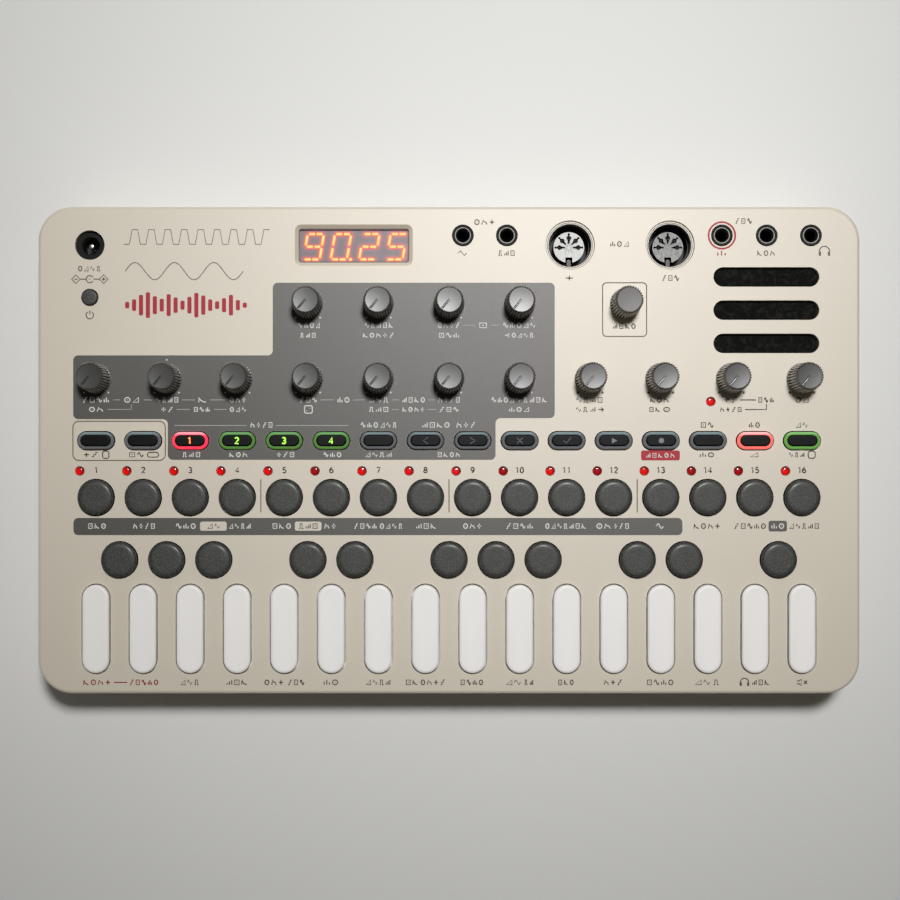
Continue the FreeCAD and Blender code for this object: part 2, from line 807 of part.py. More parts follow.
# Battery contacts: a sprung plate with a domed bump at each end of each row of cells.
contact_height = (case_bottom + dim.cover_thickness + bay_inner_top) / 2
contacts = []
for side in (-1, 1):
    for cell_row in (-1, 0, 1):
        face = side * (dim.bay_length / 2 - dim.contact_thickness / 2)
        blade = box(
            dim.contact_thickness, dim.contact_size, dim.contact_size,
            face, cell_row * dim.cell_pitch, contact_height - dim.contact_size / 2)
        bump = cone(
            dim.contact_bump_diameter, dim.contact_bump_diameter / 2, dim.contact_bump_height,
            side * (dim.bay_length / 2 - dim.contact_thickness), cell_row * dim.cell_pitch, contact_height)
        bump.Placement.Rotation = FreeCAD.Rotation(FreeCAD.Vector(0, 1, 0), -90 * side)
        contacts.append(fuse(blade, bump))
node(group(*contacts), "battery_contacts")

# Rubber feet: four discs stuck in shallow recesses of the floor.
foot = new_body("Foot")
disc = new_sketch(foot)
draw_circle(disc, dim.foot_diameter)
foot_disc = pad(foot, disc, dim.foot_height + dim.foot_recess)
document.recompute()
dress(foot, "Chamfer", foot_disc, level_edges(foot_disc, size(0)), Size=dim.foot_chamfer)
node(group(*copies(foot, foot_places)), "rubber_feet")

# Case screws: pan heads with a cross recess, up through the bottom case into the bosses of the top case.
screw_head = cylinder(dim.screw_head_diameter, dim.screw_head_height, 0, 0, -dim.screw_head_height)
screw_shank = cylinder(dim.screw_diameter, dim.screw_length, 0, 0, 0)
crosses = [box(length, width, dim.cross_depth, 0, 0, -dim.screw_head_height)
           for length, width in ((dim.cross_length, dim.cross_width), (dim.cross_width, dim.cross_length))]
screw = cut(fuse(screw_head, screw_shank), *crosses)
node(group(*copies(screw, boss_places, screw_head_top)), "case_screws")

# Circuit boards: the main board under the panel, with a tongue for the display and an opening for the
# speaker, and the socket board and the power board, both deeper in the case.
board_front = front_edge + dim.board_inset_end
board_half = right_edge - dim.board_inset_side
opening_front = speaker_y - dim.speaker_opening / 2
opening_left = speaker_x - dim.speaker_opening / 2


def board(left, right, front, rear, top):
    """A flat board between two x and two y places."""
    return box(right - left, rear - front, dim.board_thickness, (left + right) / 2, (front + rear) / 2,
               top - dim.board_thickness)


main_board = fuse(
    board(-board_half, board_half, board_front, opening_front, board_top),
    board(-board_half, opening_left, opening_front, board_rear, board_top),
    board(display_x - dim.display_tongue_width / 2, display_x + dim.display_tongue_width / 2, board_rear,
          rear_edge - dim.board_inset_end, board_top),
)
socket_front = socket_row - dim.socket_board_front
socket_board_reach = dim.jack_body_width / 2 + dim.socket_board_margin
socket_board = board(sync_in_x - socket_board_reach, headphones_x + socket_board_reach,
                     socket_front, rear_edge - dim.board_inset_end, socket_board_top)
power_board = board(power_x - dim.power_board_width / 2, power_x + dim.power_board_width / 2,
                    socket_front, rear_edge - dim.board_inset_end, socket_board_top)
node(group(main_board, socket_board, power_board), "circuit_boards")

# Tact switches: a square body and a round plunger under every key and button.
switch = fuse(
    box(dim.switch_size, dim.switch_size, dim.switch_body_height, 0, 0, 0),
    cylinder(dim.plunger_diameter, dim.switch_body_height + dim.plunger_height, 0, 0, 0),
)
pill_key_places = [
    (column_x(column), row) for row in (white_key_row, function_row) for column in range(columns)
]
switch_places = [*pill_key_places, *round_key_places, (power_x, power_button_row)]
node(group(*copies(switch, switch_places, board_top)), "tact_switches")

# White keys: pill-shaped caps with a flange that the panel holds down, and a stem over the switch.
key_top = panel_top + dim.white_key_rise
white_key = new_body("WhiteKey")
cap = new_sketch(white_key, key_flange_top)
draw_pill(cap, dim.white_key_length, dim.white_key_width, upright=True)
key_cap = pad(white_key, cap, key_top - key_flange_top)
round_level(white_key, key_cap, key_top, dim.white_key_round)
flange = new_sketch(white_key, key_flange_underside)
draw_pill(
    flange, dim.white_key_length + 2 * dim.key_flange, dim.white_key_width + 2 * dim.key_flange, upright=True)
pad(white_key, flange, dim.key_flange)
stem = new_sketch(white_key, stem_end)
draw_circle(stem, dim.stem_diameter)
pad(white_key, stem, key_flange_underside - stem_end)
for column in range(columns):
    node(put(group(white_key), column_x(column), white_key_row), f"white_key_{column + 1:02d}")


def turned_button(name, diameter, rise, rounding):
    """A round button: cap, flange under the panel and stem, turned in one piece."""
    body = new_body(name)
    radius = diameter / 2
    flange_radius = radius + dim.key_flange
    top = panel_top + rise
    turning = revolve(body, [
        (0, stem_end), (dim.stem_diameter / 2, stem_end), (dim.stem_diameter / 2, key_flange_underside),
        (flange_radius, key_flange_underside), (flange_radius, key_flange_top), (radius, key_flange_top),
        (radius, top), (0, top),
    ])
    round_level(body, turning, top, rounding)
    return body


# Black keys and step buttons: the same round grey cap, in groups that travel together.
round_key = turned_button("RoundKey", dim.round_key_diameter, dim.round_key_rise, dim.round_key_round)
for name, group_columns in black_key_groups.items():
    places = [(column_x(column), black_key_row) for column in group_columns]
    node(group(*copies(round_key, places)), name)
for name, group_columns in step_groups.items():
    places = [(column_x(column), step_row) for column in group_columns]
    node(group(*copies(round_key, places)), name)

# Function buttons: a translucent rim with flange and stem, and a glossy black cap let into its top.
rim_top = panel_top + dim.function_rise
cap_seat = rim_top - dim.function_cap_seat
button_rim = new_body("FunctionRim")
shell = new_sketch(button_rim, key_flange_top)
draw_pill(shell, dim.function_width, dim.function_depth)
rim_shell = pad(button_rim, shell, rim_top - key_flange_top)
round_level(button_rim, rim_shell, rim_top, dim.function_round)
flange = new_sketch(button_rim, key_flange_underside)
draw_pill(flange, dim.function_width + 2 * dim.key_flange, dim.function_depth + 2 * dim.key_flange)
pad(button_rim, flange, dim.key_flange)
stem = new_sketch(button_rim, stem_end)
draw_circle(stem, dim.stem_diameter)
pad(button_rim, stem, key_flange_underside - stem_end)
seat = new_sketch(button_rim, rim_top)
draw_pill(seat, dim.function_cap_width, dim.function_cap_depth)
pocket(button_rim, seat, dim.function_cap_seat)
button_cap = new_body("FunctionCap")
cap = new_sketch(button_cap, cap_seat)
draw_pill(cap, dim.function_cap_width, dim.function_cap_depth)
cap_pad = pad(button_cap, cap, dim.function_cap_seat + dim.function_cap_rise)
round_level(button_cap, cap_pad, rim_top + dim.function_cap_rise, dim.function_cap_round)
for name, group_columns in function_groups.items():
    places = [(column_x(column), function_row) for column in group_columns]
    node(group(*copies(button_rim, places), *copies(button_cap, places)), name)

# Power button: a small round button beside the DC socket.
power_button = turned_button(
    "PowerButton", dim.power_button_diameter, dim.power_button_rise, dim.power_button_round)
node(put(group(power_button), power_x, power_button_row), "power_button")


# Knobs: a tapered cap with ribs all round, a smooth skirt, a shallow dish on top and an engraved pointer,
# pressed on a round shaft that runs in the potentiometer.
def ribbed_outline(diameter, z):
    """A star-shaped closed wire: each rib comes to a point at the full diameter."""
    points = []
    for step in range(2 * knob_ribs + 1):
        radius = diameter.number / 2 - (step % 2) * dim.knob_rib_depth.number
        angle = math.pi * step / knob_ribs
        points.append(FreeCAD.Vector(radius * math.cos(angle), radius * math.sin(angle), z.number))
    return Part.makePolygon(points)


knob_base = panel_top + dim.knob_gap
knob_top = panel_top + dim.knob_height
grip = document.addObject("Part::Feature", "KnobGrip")
grip_ends = [ribbed_outline(dim.knob_diameter, knob_base), ribbed_outline(dim.knob_top_diameter, knob_top)]
grip.Shape = Part.makeLoft(grip_ends, True, True)
skirt = cylinder(dim.knob_skirt_diameter, dim.knob_skirt_height, 0, 0, knob_base)
dish = cylinder(dim.knob_dish_diameter, dim.knob_dish_depth, 0, 0, knob_top - dim.knob_dish_depth)
bore = cylinder(dim.shaft_diameter, dim.knob_bore_depth, 0, 0, knob_base)
plain_cap = cut(fuse(grip, skirt), dish, bore)
pointer_length = dim.knob_dish_diameter / 2
pointer_z = knob_top - dim.knob_dish_depth - dim.pointer_depth
pointer = box(
    dim.pointer_width, pointer_length, dim.knob_dish_depth + dim.pointer_depth, 0, -pointer_length / 2, 0)
pointer_holder = put(group(pointer), 0, 0, pointer_z)
pointer_holder.Placement.Rotation = FreeCAD.Rotation(FreeCAD.Vector(0, 0, 1), -dim.pointer_angle.number)
pointed_cap = cut(plain_cap, pointer_holder)
shaft_end = board_top + dim.pot_height - dim.shaft_engagement
shaft = cylinder(dim.shaft_diameter, knob_base + dim.knob_bore_depth - shaft_end, 0, 0, shaft_end)
for name, place in knob_places.items():
    node(put(group(pointed_cap, shaft), *place), name)
node(put(group(plain_cap, shaft), *encoder_place), "knob_value")

# Potentiometers and the encoder: moulded bodies on the main board, each with the bearing of its shaft.
bearing_depth = dim.shaft_engagement + dim.shaft_bearing_gap
bearing = cylinder(
    dim.shaft_diameter + 2 * dim.shaft_bearing_gap, bearing_depth, 0, 0, dim.pot_height - bearing_depth)
potentiometer = cut(box(dim.pot_width, dim.pot_length, dim.pot_height, 0, 0, 0), bearing)
encoder = cut(box(dim.encoder_width, dim.encoder_width, dim.pot_height, 0, 0, 0), bearing)
potentiometers = copies(potentiometer, knob_places.values(), board_top)
node(group(*potentiometers, *copies(encoder, [encoder_place], board_top)), "rotary_controls")

# Lights: red domes on black spacers, and two small bare lights beside the switch of each function button.
light_top = panel_top + dim.light_rise
light_shoulder = light_top - dim.light_diameter / 2
light_base = panel_underside - dim.light_flange_height
light = fuse(
    cylinder(dim.light_flange_diameter, dim.light_flange_height, 0, 0, light_base),
    cylinder(dim.light_diameter, light_shoulder - light_base, 0, 0, light_base),
)
dome = document.addObject("Part::Sphere", "Dome")
put(bind(dome, Radius=dim.light_diameter / 2), 0, 0, light_shoulder)
light = fuse(light, dome)
spacer = cylinder(dim.light_spacer_diameter, light_base - board_top, 0, 0, board_top)
cell_light = box(dim.cell_light_size, dim.cell_light_size, dim.cell_light_height, 0, 0, board_top)
cell_places = [(column_x(column) + side * dim.cell_light_offset, function_row)
               for column in range(columns) for side in (-1, 1)]
node(group(*copies(light, light_places), *copies(spacer, light_places), *copies(cell_light, cell_places)),
     "indicator_lights")

# Display: a four-digit module on the main board and a clear window let into the panel from below.
display_top = panel_underside - dim.display_gap
node(box(dim.display_length, dim.display_width, display_top - board_top, display_x, socket_row, board_top),
     "display_module")
window = new_body("DisplayWindow")
pane = new_sketch(window, panel_underside)
draw_window(pane, dim.window_overlap, dim.window_opening_corner - dim.window_gap)
pad(window, pane, dim.window_thickness)
node(window, "display_window")

# Mini jacks: a moulded body on the socket board and a metal bush up through the panel, with a flared mouth.
jack_top = panel_top + dim.jack_bush_rise
jack_flare = (dim.jack_mouth - dim.jack_bore) / 2
jack_radius = dim.jack_bore / 2
jack_bush = new_body("JackBush")
revolve(jack_bush, [
    (jack_radius, panel_underside), (dim.jack_bush_diameter / 2, panel_underside),
    (dim.jack_bush_diameter / 2, jack_top), (dim.jack_mouth / 2, jack_top),
    (jack_radius, jack_top - jack_flare),
])
jack_body = cut(
    box(dim.jack_body_width, dim.jack_body_length, panel_underside - socket_board_top,
        0, 0, socket_board_top),
    cylinder(dim.jack_bore, dim.jack_depth, 0, 0, jack_top - dim.jack_depth),
)
node(group(*copies(jack_bush, jack_places), *copies(jack_body, jack_places)), "mini_jacks")

# DIN sockets: a round housing under the panel, and a recessed insert with five contacts and a keyway.
mouth_end = panel_underside - dim.din_mouth_depth
insert_top = mouth_end - dim.din_insert_recess
insert_base = panel_underside - dim.din_depth
din_housing = new_body("DinHousing")
revolve(din_housing, [
    (0, socket_board_top), (dim.din_housing_diameter / 2, socket_board_top),
    (dim.din_housing_diameter / 2, panel_underside), (dim.din_bore / 2, panel_underside),
    (dim.din_bore / 2, mouth_end), (dim.din_lower_bore / 2, mouth_end),
    (dim.din_lower_bore / 2, insert_base), (0, insert_base),
])
insert_disc = cylinder(dim.din_insert_diameter, insert_top - insert_base, 0, 0, insert_base)
contact_holes = []
for step in range(din_contacts):
    turn = math.radians(step * dim.din_contact_spread.number)
    contact_holes.append(cylinder(
        dim.din_contact_diameter, dim.din_contact_depth,
        dim.din_contact_circle / 2 * math.cos(turn), dim.din_contact_circle / 2 * math.sin(turn),
        insert_top - dim.din_contact_depth))
keyway = box(dim.din_key_width, 2 * dim.din_key_depth, insert_top - insert_base, 0,
             -dim.din_insert_diameter / 2, insert_base)
din_insert = cut(insert_disc, keyway, *contact_holes)
node(group(*copies(din_housing, din_places), *copies(din_insert, din_places)), "din_sockets")

# DC socket: a moulded body on the power board, just below its hole in the panel, with a centre pin.
dc_height = panel_underside - socket_board_top
dc_well = cut(
    cylinder(dim.dc_bore, dim.dc_depth, 0, 0, dc_height - dim.dc_depth),
    cylinder(dim.dc_pin_diameter, dim.dc_depth - dim.dc_pin_recess, 0, 0, dc_height - dim.dc_depth),
)
dc_body = cut(box(dim.dc_body_width, dim.dc_body_length, dc_height, 0, 0, 0), dc_well)
node(put(group(dc_body), power_x, socket_row, socket_board_top), "dc_socket")

# Speaker: cloth under the slots, then a basket with its magnet, and the cone between them.
cloth_underside = panel_underside - dim.cloth_thickness
cloth = new_body("SpeakerCloth")
weave = new_sketch(cloth, cloth_underside)
draw_rounded(weave, dim.cloth_length, dim.cloth_width, dim.cloth_corner)
pad(cloth, weave, dim.cloth_thickness)
rim_radius = dim.speaker_diameter / 2
rim_inner = rim_radius - dim.speaker_rim_width
magnet_radius = dim.magnet_diameter / 2
basket_top = rim_radius - dim.basket_wall
basket_low = magnet_radius + dim.basket_wall
rim_low = cloth_underside - dim.speaker_rim_height
basket_end = cloth_underside - dim.basket_depth
basket = new_body("SpeakerBasket")
revolve(basket, [
    (0, basket_end), (basket_low, basket_end), (basket_top, rim_low), (rim_radius, rim_low),
    (rim_radius, cloth_underside), (rim_inner, cloth_underside), (rim_inner, rim_low),
    (basket_low - dim.basket_wall, basket_end + dim.basket_wall), (0, basket_end + dim.basket_wall),
])
magnet = cylinder(dim.magnet_diameter, dim.magnet_height, 0, 0, basket_end - dim.magnet_height)
cone_top = cloth_underside - dim.cone_top_gap
cone_low = cone_top - dim.cone_depth
cone_shell = new_body("SpeakerCone")
cap_radius = dim.dust_cap_diameter / 2
cone_edge = rim_inner - dim.speaker_rim_height
revolve(cone_shell, [
    (0, cone_low), (cap_radius, cone_low - dim.cone_thickness), (cone_edge, cone_top - dim.cone_thickness),
    (rim_inner, cone_top - dim.cone_thickness), (rim_inner, cone_top), (cone_edge, cone_top),
    (cap_radius, cone_low), (0, cone_low + dim.cone_thickness),
])
node(put(group(cloth, basket, magnet, cone_shell), speaker_x, speaker_y), "speaker")

# Check every object, then write each sub-part to its own file.
document.recompute()
faults = [item.Label for item in document.Objects if "Invalid" in item.State or "Error" in item.State]
for item in nodes:
    if item.Shape.isNull() or not item.Shape.isValid() or not item.Shape.Solids:
        faults.append(item.Label)
if faults:
    raise SystemExit(f"These objects failed: {sorted(set(faults))}")
os.makedirs("parts", exist_ok=True)
for item in nodes:
    item.Shape.exportStep(f"parts/{item.Label}.step")
print(f"{len(nodes)} sub-parts written")
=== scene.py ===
import itertools
import json
import math

import bmesh
import bpy
from mathutils import Matrix, Vector


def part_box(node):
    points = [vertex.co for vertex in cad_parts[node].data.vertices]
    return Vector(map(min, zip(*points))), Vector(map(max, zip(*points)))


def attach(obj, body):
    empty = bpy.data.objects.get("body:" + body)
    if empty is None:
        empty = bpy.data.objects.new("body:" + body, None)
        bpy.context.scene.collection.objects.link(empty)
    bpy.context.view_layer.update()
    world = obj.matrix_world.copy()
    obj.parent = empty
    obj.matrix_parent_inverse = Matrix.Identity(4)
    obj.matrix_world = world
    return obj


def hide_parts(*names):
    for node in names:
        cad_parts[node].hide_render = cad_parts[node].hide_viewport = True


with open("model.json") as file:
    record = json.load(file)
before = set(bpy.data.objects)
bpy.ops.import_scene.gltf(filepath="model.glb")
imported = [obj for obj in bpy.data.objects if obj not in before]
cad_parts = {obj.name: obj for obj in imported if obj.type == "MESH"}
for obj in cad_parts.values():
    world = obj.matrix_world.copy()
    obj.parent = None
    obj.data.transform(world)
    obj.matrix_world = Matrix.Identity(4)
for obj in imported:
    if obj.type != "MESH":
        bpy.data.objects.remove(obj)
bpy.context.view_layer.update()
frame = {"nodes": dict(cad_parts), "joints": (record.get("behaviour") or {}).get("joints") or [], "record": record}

# Bottom case: a tray of cream plastic, moulded with a fine grain. It carries the battery bay, the screw
# tubes and the feet, and everything else is built up on it, so the general means stand in this section.
mm = 0.001


class Graph:
    """Adds nodes to a shader or geometry tree and joins them."""

    def __init__(self, tree):
        self.tree = tree

    def add(self, kind, inputs=None, **settings):
        """A new node's outputs. Each input is a number, a colour or the socket that feeds it."""
        item = self.tree.nodes.new(kind)
        for name, value in settings.items():
            setattr(item, name, value)
        for name, value in (inputs or {}).items():
            if isinstance(value, bpy.types.NodeSocket):
                self.tree.links.new(value, item.inputs[name])
            else:
                item.inputs[name].default_value = value
        return item.outputs


def paint(red, green, blue):
    """A colour as it looks on a screen, as the linear values that shaders take."""
    return (*(((part + 0.055) / 1.055) ** 2.4 for part in (red, green, blue)), 1.0)


def shade(colour, factor):
    """A darker or lighter tone of a linear colour."""
    return (*(min(1.0, part * factor) for part in colour[:3]), 1.0)


def finish(name, colour, roughness, grain=0.4, relief=0.01, drift=0.02, cloud=40.0, gloss_drift=0.05,
           fleck=None, **sockets):
    """A moulded, coated or plated surface. Its tone drifts in clouds, and a fine grain breaks its gloss.
    Sizes are in millimetres; fleck is the colour of single grains that stand out."""
    material = bpy.data.materials.new(name)
    material.use_nodes = True
    graph = Graph(material.node_tree)
    shader = material.node_tree.nodes["Principled BSDF"]
    place = graph.add("ShaderNodeTexCoord")["Object"]
    clouds = graph.add("ShaderNodeTexNoise", {"Vector": place, "Scale": 1 / (cloud * mm), "Detail": 3.0})[0]
    grains = graph.add("ShaderNodeTexNoise", {"Vector": place, "Scale": 1 / (grain * mm), "Detail": 2.0})[0]
    tone = graph.add("ShaderNodeMix", {
        0: clouds, 6: shade(colour, 1 - 2 * drift), 7: shade(colour, 1 + 2 * drift)}, data_type="RGBA")[2]
    if fleck:
        flecks = graph.add("ShaderNodeMapRange", {
            "Value": grains, "From Min": 0.5, "From Max": 0.72, "To Min": 0.0, "To Max": 1.0})[0]
        tone = graph.add("ShaderNodeMix", {0: flecks, 6: tone, 7: fleck}, data_type="RGBA")[2]
    material.node_tree.links.new(tone, shader.inputs["Base Color"])
    dullness = graph.add("ShaderNodeMapRange", {
        "Value": grains, "To Min": max(0.0, roughness - gloss_drift), "To Max": roughness + gloss_drift})[0]
    material.node_tree.links.new(dullness, shader.inputs["Roughness"])
    bump = graph.add("ShaderNodeBump", {"Height": grains, "Distance": relief * mm, "Strength": 1.0})[0]
    material.node_tree.links.new(bump, shader.inputs["Normal"])
    for socket, value in sockets.items():
        shader.inputs[socket.replace("_", " ")].default_value = value
    return material


def extent(node):
    """A node's lowest and highest corners, in millimetres."""
    low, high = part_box(node)
    return low / mm, high / mm


def body_of(node):
    """The CAD body that a node belongs to."""
    bodies = frame["record"]["behaviour"]["bodies"]
    return next(body for body, members in bodies.items() if node in members)


def slot_of(node):
    """The record's material slot that a node takes its finish from."""
    return next(entry["material_slot"] for entry in frame["record"]["subparts"] if entry["node"] == node)


def placed(name, data):
    """A new object in the scene, for a mesh, a curve, a lamp or the camera."""
    item = bpy.data.objects.new(name, data)
    bpy.context.scene.collection.objects.link(item)
    return item


def fit(name, mesh, body, slot, *nodes):
    """Puts a finished mesh in the scene on its CAD body; it may stand for CAD nodes."""
    item = placed(name, mesh)
    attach(item, body)
    if nodes:
        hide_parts(*nodes)
    return item


def smoothed(node, material, angle=30.0):
    """A copy of a CAD node with its rounds shaded smooth, which stands for it. At each corner a flat
    region counts once and with its whole area, so that it looks flat right up to its edge."""
    mesh = frame["nodes"][node].data.copy()
    shell = bmesh.new()
    shell.from_mesh(mesh)
    bmesh.ops.remove_doubles(shell, verts=shell.verts, dist=0.001 * mm)
    shell.faces.index_update()
    flat, limit = math.cos(math.radians(0.4)), math.cos(math.radians(angle))
    region_of, pulls = {}, []
    for seed in shell.faces:
        if seed.index in region_of:
            continue
        region_of[seed.index] = len(pulls)
        pull = Vector()
        waiting = [seed]
        while waiting:
            face = waiting.pop()
            pull += face.normal * face.calc_area()
            for other in (other for edge in face.edges for other in edge.link_faces):
                if other.index not in region_of and seed.normal.dot(other.normal) > flat:
                    region_of[other.index] = len(pulls)
                    waiting.append(other)
        pulls.append(pull)
    ways = [pull.normalized() for pull in pulls]
    normals = []
    for face in shell.faces:
        own = region_of[face.index]
        for corner in face.loops:
            total = Vector()
            for region in sorted({region_of[other.index] for other in corner.vert.link_faces}):
                if region == own or ways[region].dot(ways[own]) > limit:
                    total += pulls[region]
            normals.append(total.normalized())
    shell.to_mesh(mesh)
    shell.free()
    mesh.shade_smooth()
    mesh.normals_split_custom_set(normals)
    mesh.materials.clear()
    mesh.materials.append(material)
    return fit(node + "_shell", mesh, body_of(node), slot_of(node), node)


def coat(node, material):
    """Gives a CAD node that stays as it is a better material."""
    for slot in frame["nodes"][node].material_slots:
        slot.material = material


base_cream = finish("base_cream", paint(0.80, 0.775, 0.71), 0.55, grain=0.5, relief=0.02)
smoothed("bottom_case", base_cream)

# Battery contacts: plates of sprung steel with a domed bump at each end of each row of cells, stamped,
# nickel-plated and held at the end walls of the battery bay.
smoothed("battery_contacts", finish("nickel_plate", paint(0.80, 0.79, 0.76), 0.28, grain=1.5, relief=0.01,
                                    drift=0.05, cloud=6.0, Metallic=1.0))

# Battery cover: a thin moulded plate of the case's plastic, with a rim that locates it and two
# hollows for a finger and thumb; it snaps into the bottom case.
smoothed("battery_cover", base_cream)

# Feet: four discs of soft black rubber, moulded with a chamfered edge and stuck into shallow seats of the
# bottom case, near its corners.
smoothed("rubber_feet", finish("foot_rubber", paint(0.13, 0.13, 0.13), 0.8, grain=0.25, relief=0.03,
                               drift=0.08, cloud=5.0, Sheen_Weight=0.2))

# Circuit boards: a main board under the panel and two deeper ones, for the sockets and for the power inlet.
# They are sheets of glass fibre, with green solder mask over their copper tracks.
solder_mask = finish("solder_mask", paint(0.10, 0.36, 0.22), 0.35, grain=0.8, relief=0.01, drift=0.12,
                     cloud=4.0, Coat_Weight=0.3)
coat("circuit_boards", solder_mask)

# Tact switches: one under each key and button, a moulded black block with a round plunger, soldered to
# the board.
moulded_black = finish("moulded_black", paint(0.12, 0.12, 0.12), 0.5, grain=0.3, relief=0.01, drift=0.05,
                       cloud=5.0)
coat("tact_switches", moulded_black)

# Rotary controls: the moulded black bodies of the fifteen potentiometers and the encoder, soldered to the
# main board. In each turns a shaft that carries a knob.
coat("rotary_controls", moulded_black)

# Lights: red light-emitting diodes, clear red domes with a flange below the panel, each on a black
# spacer, and small flat lights that shine up into the function buttons.
pitch = 17.0


def column_x(column):
    """The middle of a key column, counted from 0 at the left."""
    return (column - 7.5) * pitch


def centre_of(node):
    """The middle of a node in plan, in millimetres."""
    low, high = extent(node)
    return (low.x + high.x) / 2, (low.y + high.y) / 2


def row_y(node):
    """The middle line of a row, from a node in it."""
    return centre_of(node)[1]


def outline(span_x, span_y, corner, z, steps=8):
    """Points round a rounded rectangle, a pill or a circle, anticlockwise."""
    points = []
    for quarter, (side_x, side_y) in enumerate(((1, 1), (-1, 1), (-1, -1), (1, -1))):
        for step in range(steps + 1):
            angle = (quarter + step / steps) * math.pi / 2
            points.append((side_x * (span_x / 2 - corner) + corner * math.cos(angle),
                           side_y * (span_y / 2 - corner) + corner * math.sin(angle), z))
    return points


def cleaned(mesh):
    """Merges the doubled points of a mesh and turns its faces outward."""
    shell = bmesh.new()
    shell.from_mesh(mesh)
    bmesh.ops.remove_doubles(shell, verts=shell.verts, dist=0.0005 * mm)
    bmesh.ops.recalc_face_normals(shell, faces=shell.faces)
    shell.to_mesh(mesh)
    shell.free()


def closed(corners, faces, material, marks=None, sharp=35.0):
    """A closed shell from points in millimetres: doubles merged, faces outward, rounds shaded smooth.
    The marks, one for each point, become the attribute that a tinted material reads."""
    mesh = bpy.data.meshes.new(material.name)
    mesh.from_pydata([[part * mm for part in corner] for corner in corners], [], faces)
    if marks:
        mesh.attributes.new("mark", "FLOAT", "POINT").data.foreach_set("value", marks)
    cleaned(mesh)
    mesh.shade_smooth()
    mesh.set_sharp_from_angle(angle=math.radians(sharp))
    mesh.materials.append(material)
    return mesh


def stacked(rings, material, marks=None, loop=False, sharp=35.0):
    """A shell through rings of points, closed by end faces, or round on itself for a hollow piece.
    Marks are one for each ring, or a rule that gives a point's mark."""
    count, levels = len(rings[0]), len(rings)
    corners = [point for ring in rings for point in ring]
    faces = []
    for level in range(levels if loop else levels - 1):
        low, high = level * count, (level + 1) % levels * count
        for side in range(count):
            after = (side + 1) % count
            faces.append((low + side, low + after, high + after, high + side))
    if not loop:
        faces.append(tuple(reversed(range(count))))
        faces.append(tuple(range((levels - 1) * count, levels * count)))
    if callable(marks):
        marks = [marks(*point) for point in corners]
    elif marks:
        marks = [mark for mark in marks for _ in range(count)]
    return closed(corners, faces, material, marks, sharp)


def turned(profile, material, marks=None, loop=False, steps=12, sharp=35.0):
    """A turned piece from its profile of radii and heights."""
    rings = [outline(2 * radius, 2 * radius, radius, z, steps) for radius, z in profile]
    return stacked(rings, material, marks, loop, sharp)


def prism(span_x, span_y, corner, low, high, material, steps=3):
    """An upright block with rounded corners, from one height to another."""
    return stacked([outline(span_x, span_y, corner, z, steps) for z in (low, high)], material)


def shifted(mesh, x, y):
    """Moves a mesh over the panel, in millimetres."""
    mesh.transform(Matrix.Translation((x * mm, y * mm, 0.0)))
    return mesh


def shoulder(edge, top, rounding, steps=5):
    """The rounded shoulder of a profile, from its side in to its top."""
    turns = [step / steps * math.pi / 2 for step in range(steps + 1)]
    return [(edge - rounding * (1 - math.cos(turn)), top - rounding * (1 - math.sin(turn))) for turn in turns]


def tint(material, colour, socket="Base Color"):
    """Turns a socket's colour towards another one where the mesh's mark rises to 1."""
    graph = Graph(material.node_tree)
    target = material.node_tree.nodes["Principled BSDF"].inputs[socket]
    before = target.links[0].from_socket if target.links else tuple(target.default_value)
    mark = graph.add("ShaderNodeAttribute", attribute_name="mark")["Fac"]
    mixed = graph.add("ShaderNodeMix", {0: mark, 6: before, 7: colour}, data_type="RGBA")[2]
    material.node_tree.links.new(mixed, target)
    return material


def plain_mesh(item):
    """The mesh of an object as its modifiers leave it. The object itself goes."""
    mesh = bpy.data.meshes.new_from_object(item.evaluated_get(bpy.context.evaluated_depsgraph_get()))
    bpy.data.objects.remove(item)
    return mesh


class Rule(Graph):
    """A geometry tree with named inputs, whose result is made a plain mesh of one material."""

    def __init__(self, name, **inputs):
        super().__init__(bpy.data.node_groups.new(name, "GeometryNodeTree"))
        face = self.tree.interface
        face.new_socket("Geometry", in_out="INPUT", socket_type="NodeSocketGeometry")
        face.new_socket("Geometry", in_out="OUTPUT", socket_type="NodeSocketGeometry")
        for entry, kind in {**inputs, "Material": "Material"}.items():
            face.new_socket(entry, in_out="INPUT", socket_type="NodeSocket" + kind)
        self.given = self.add("NodeGroupInput")

    def close(self, geometry):
        """Ends the tree in real geometry with its material."""
        real = self.add("GeometryNodeRealizeInstances", {"Geometry": geometry})[0]
        painted = self.add("GeometryNodeSetMaterial", {
            "Geometry": real, "Material": self.given["Material"]})[0]
        self.add("NodeGroupOutput", {"Geometry": painted})
        return self

    def grow(self, mesh, **values):
        """Runs the tree on a mesh with these inputs."""
        host = placed("host", mesh)
        modifier = host.modifiers.new("Rule", "NODES")
        modifier.node_group = self.tree
        for entry in self.tree.interface.items_tree:
            if entry.in_out == "INPUT" and entry.name in values:
                modifier[entry.identifier] = values[entry.name]
        return plain_mesh(host)


repeat = Rule("repeat_at_places", Piece="Object")
one_piece = repeat.add("GeometryNodeObjectInfo", {"Object": repeat.given["Piece"]})["Geometry"]
repeat.close(repeat.add("GeometryNodeInstanceOnPoints", {
    "Points": repeat.given["Geometry"], "Instance": one_piece})[0])


def repeated(master, places):
    """One mesh of the same piece at several places in millimetres."""
    points = bpy.data.meshes.new("places")
    points.from_pydata([(x * mm, y * mm, 0.0) for x, y in places], [], [])
    pattern = placed("pattern", master)
    grown = repeat.grow(points, Piece=pattern, Material=master.materials[0])
    bpy.data.objects.remove(pattern)
    return grown


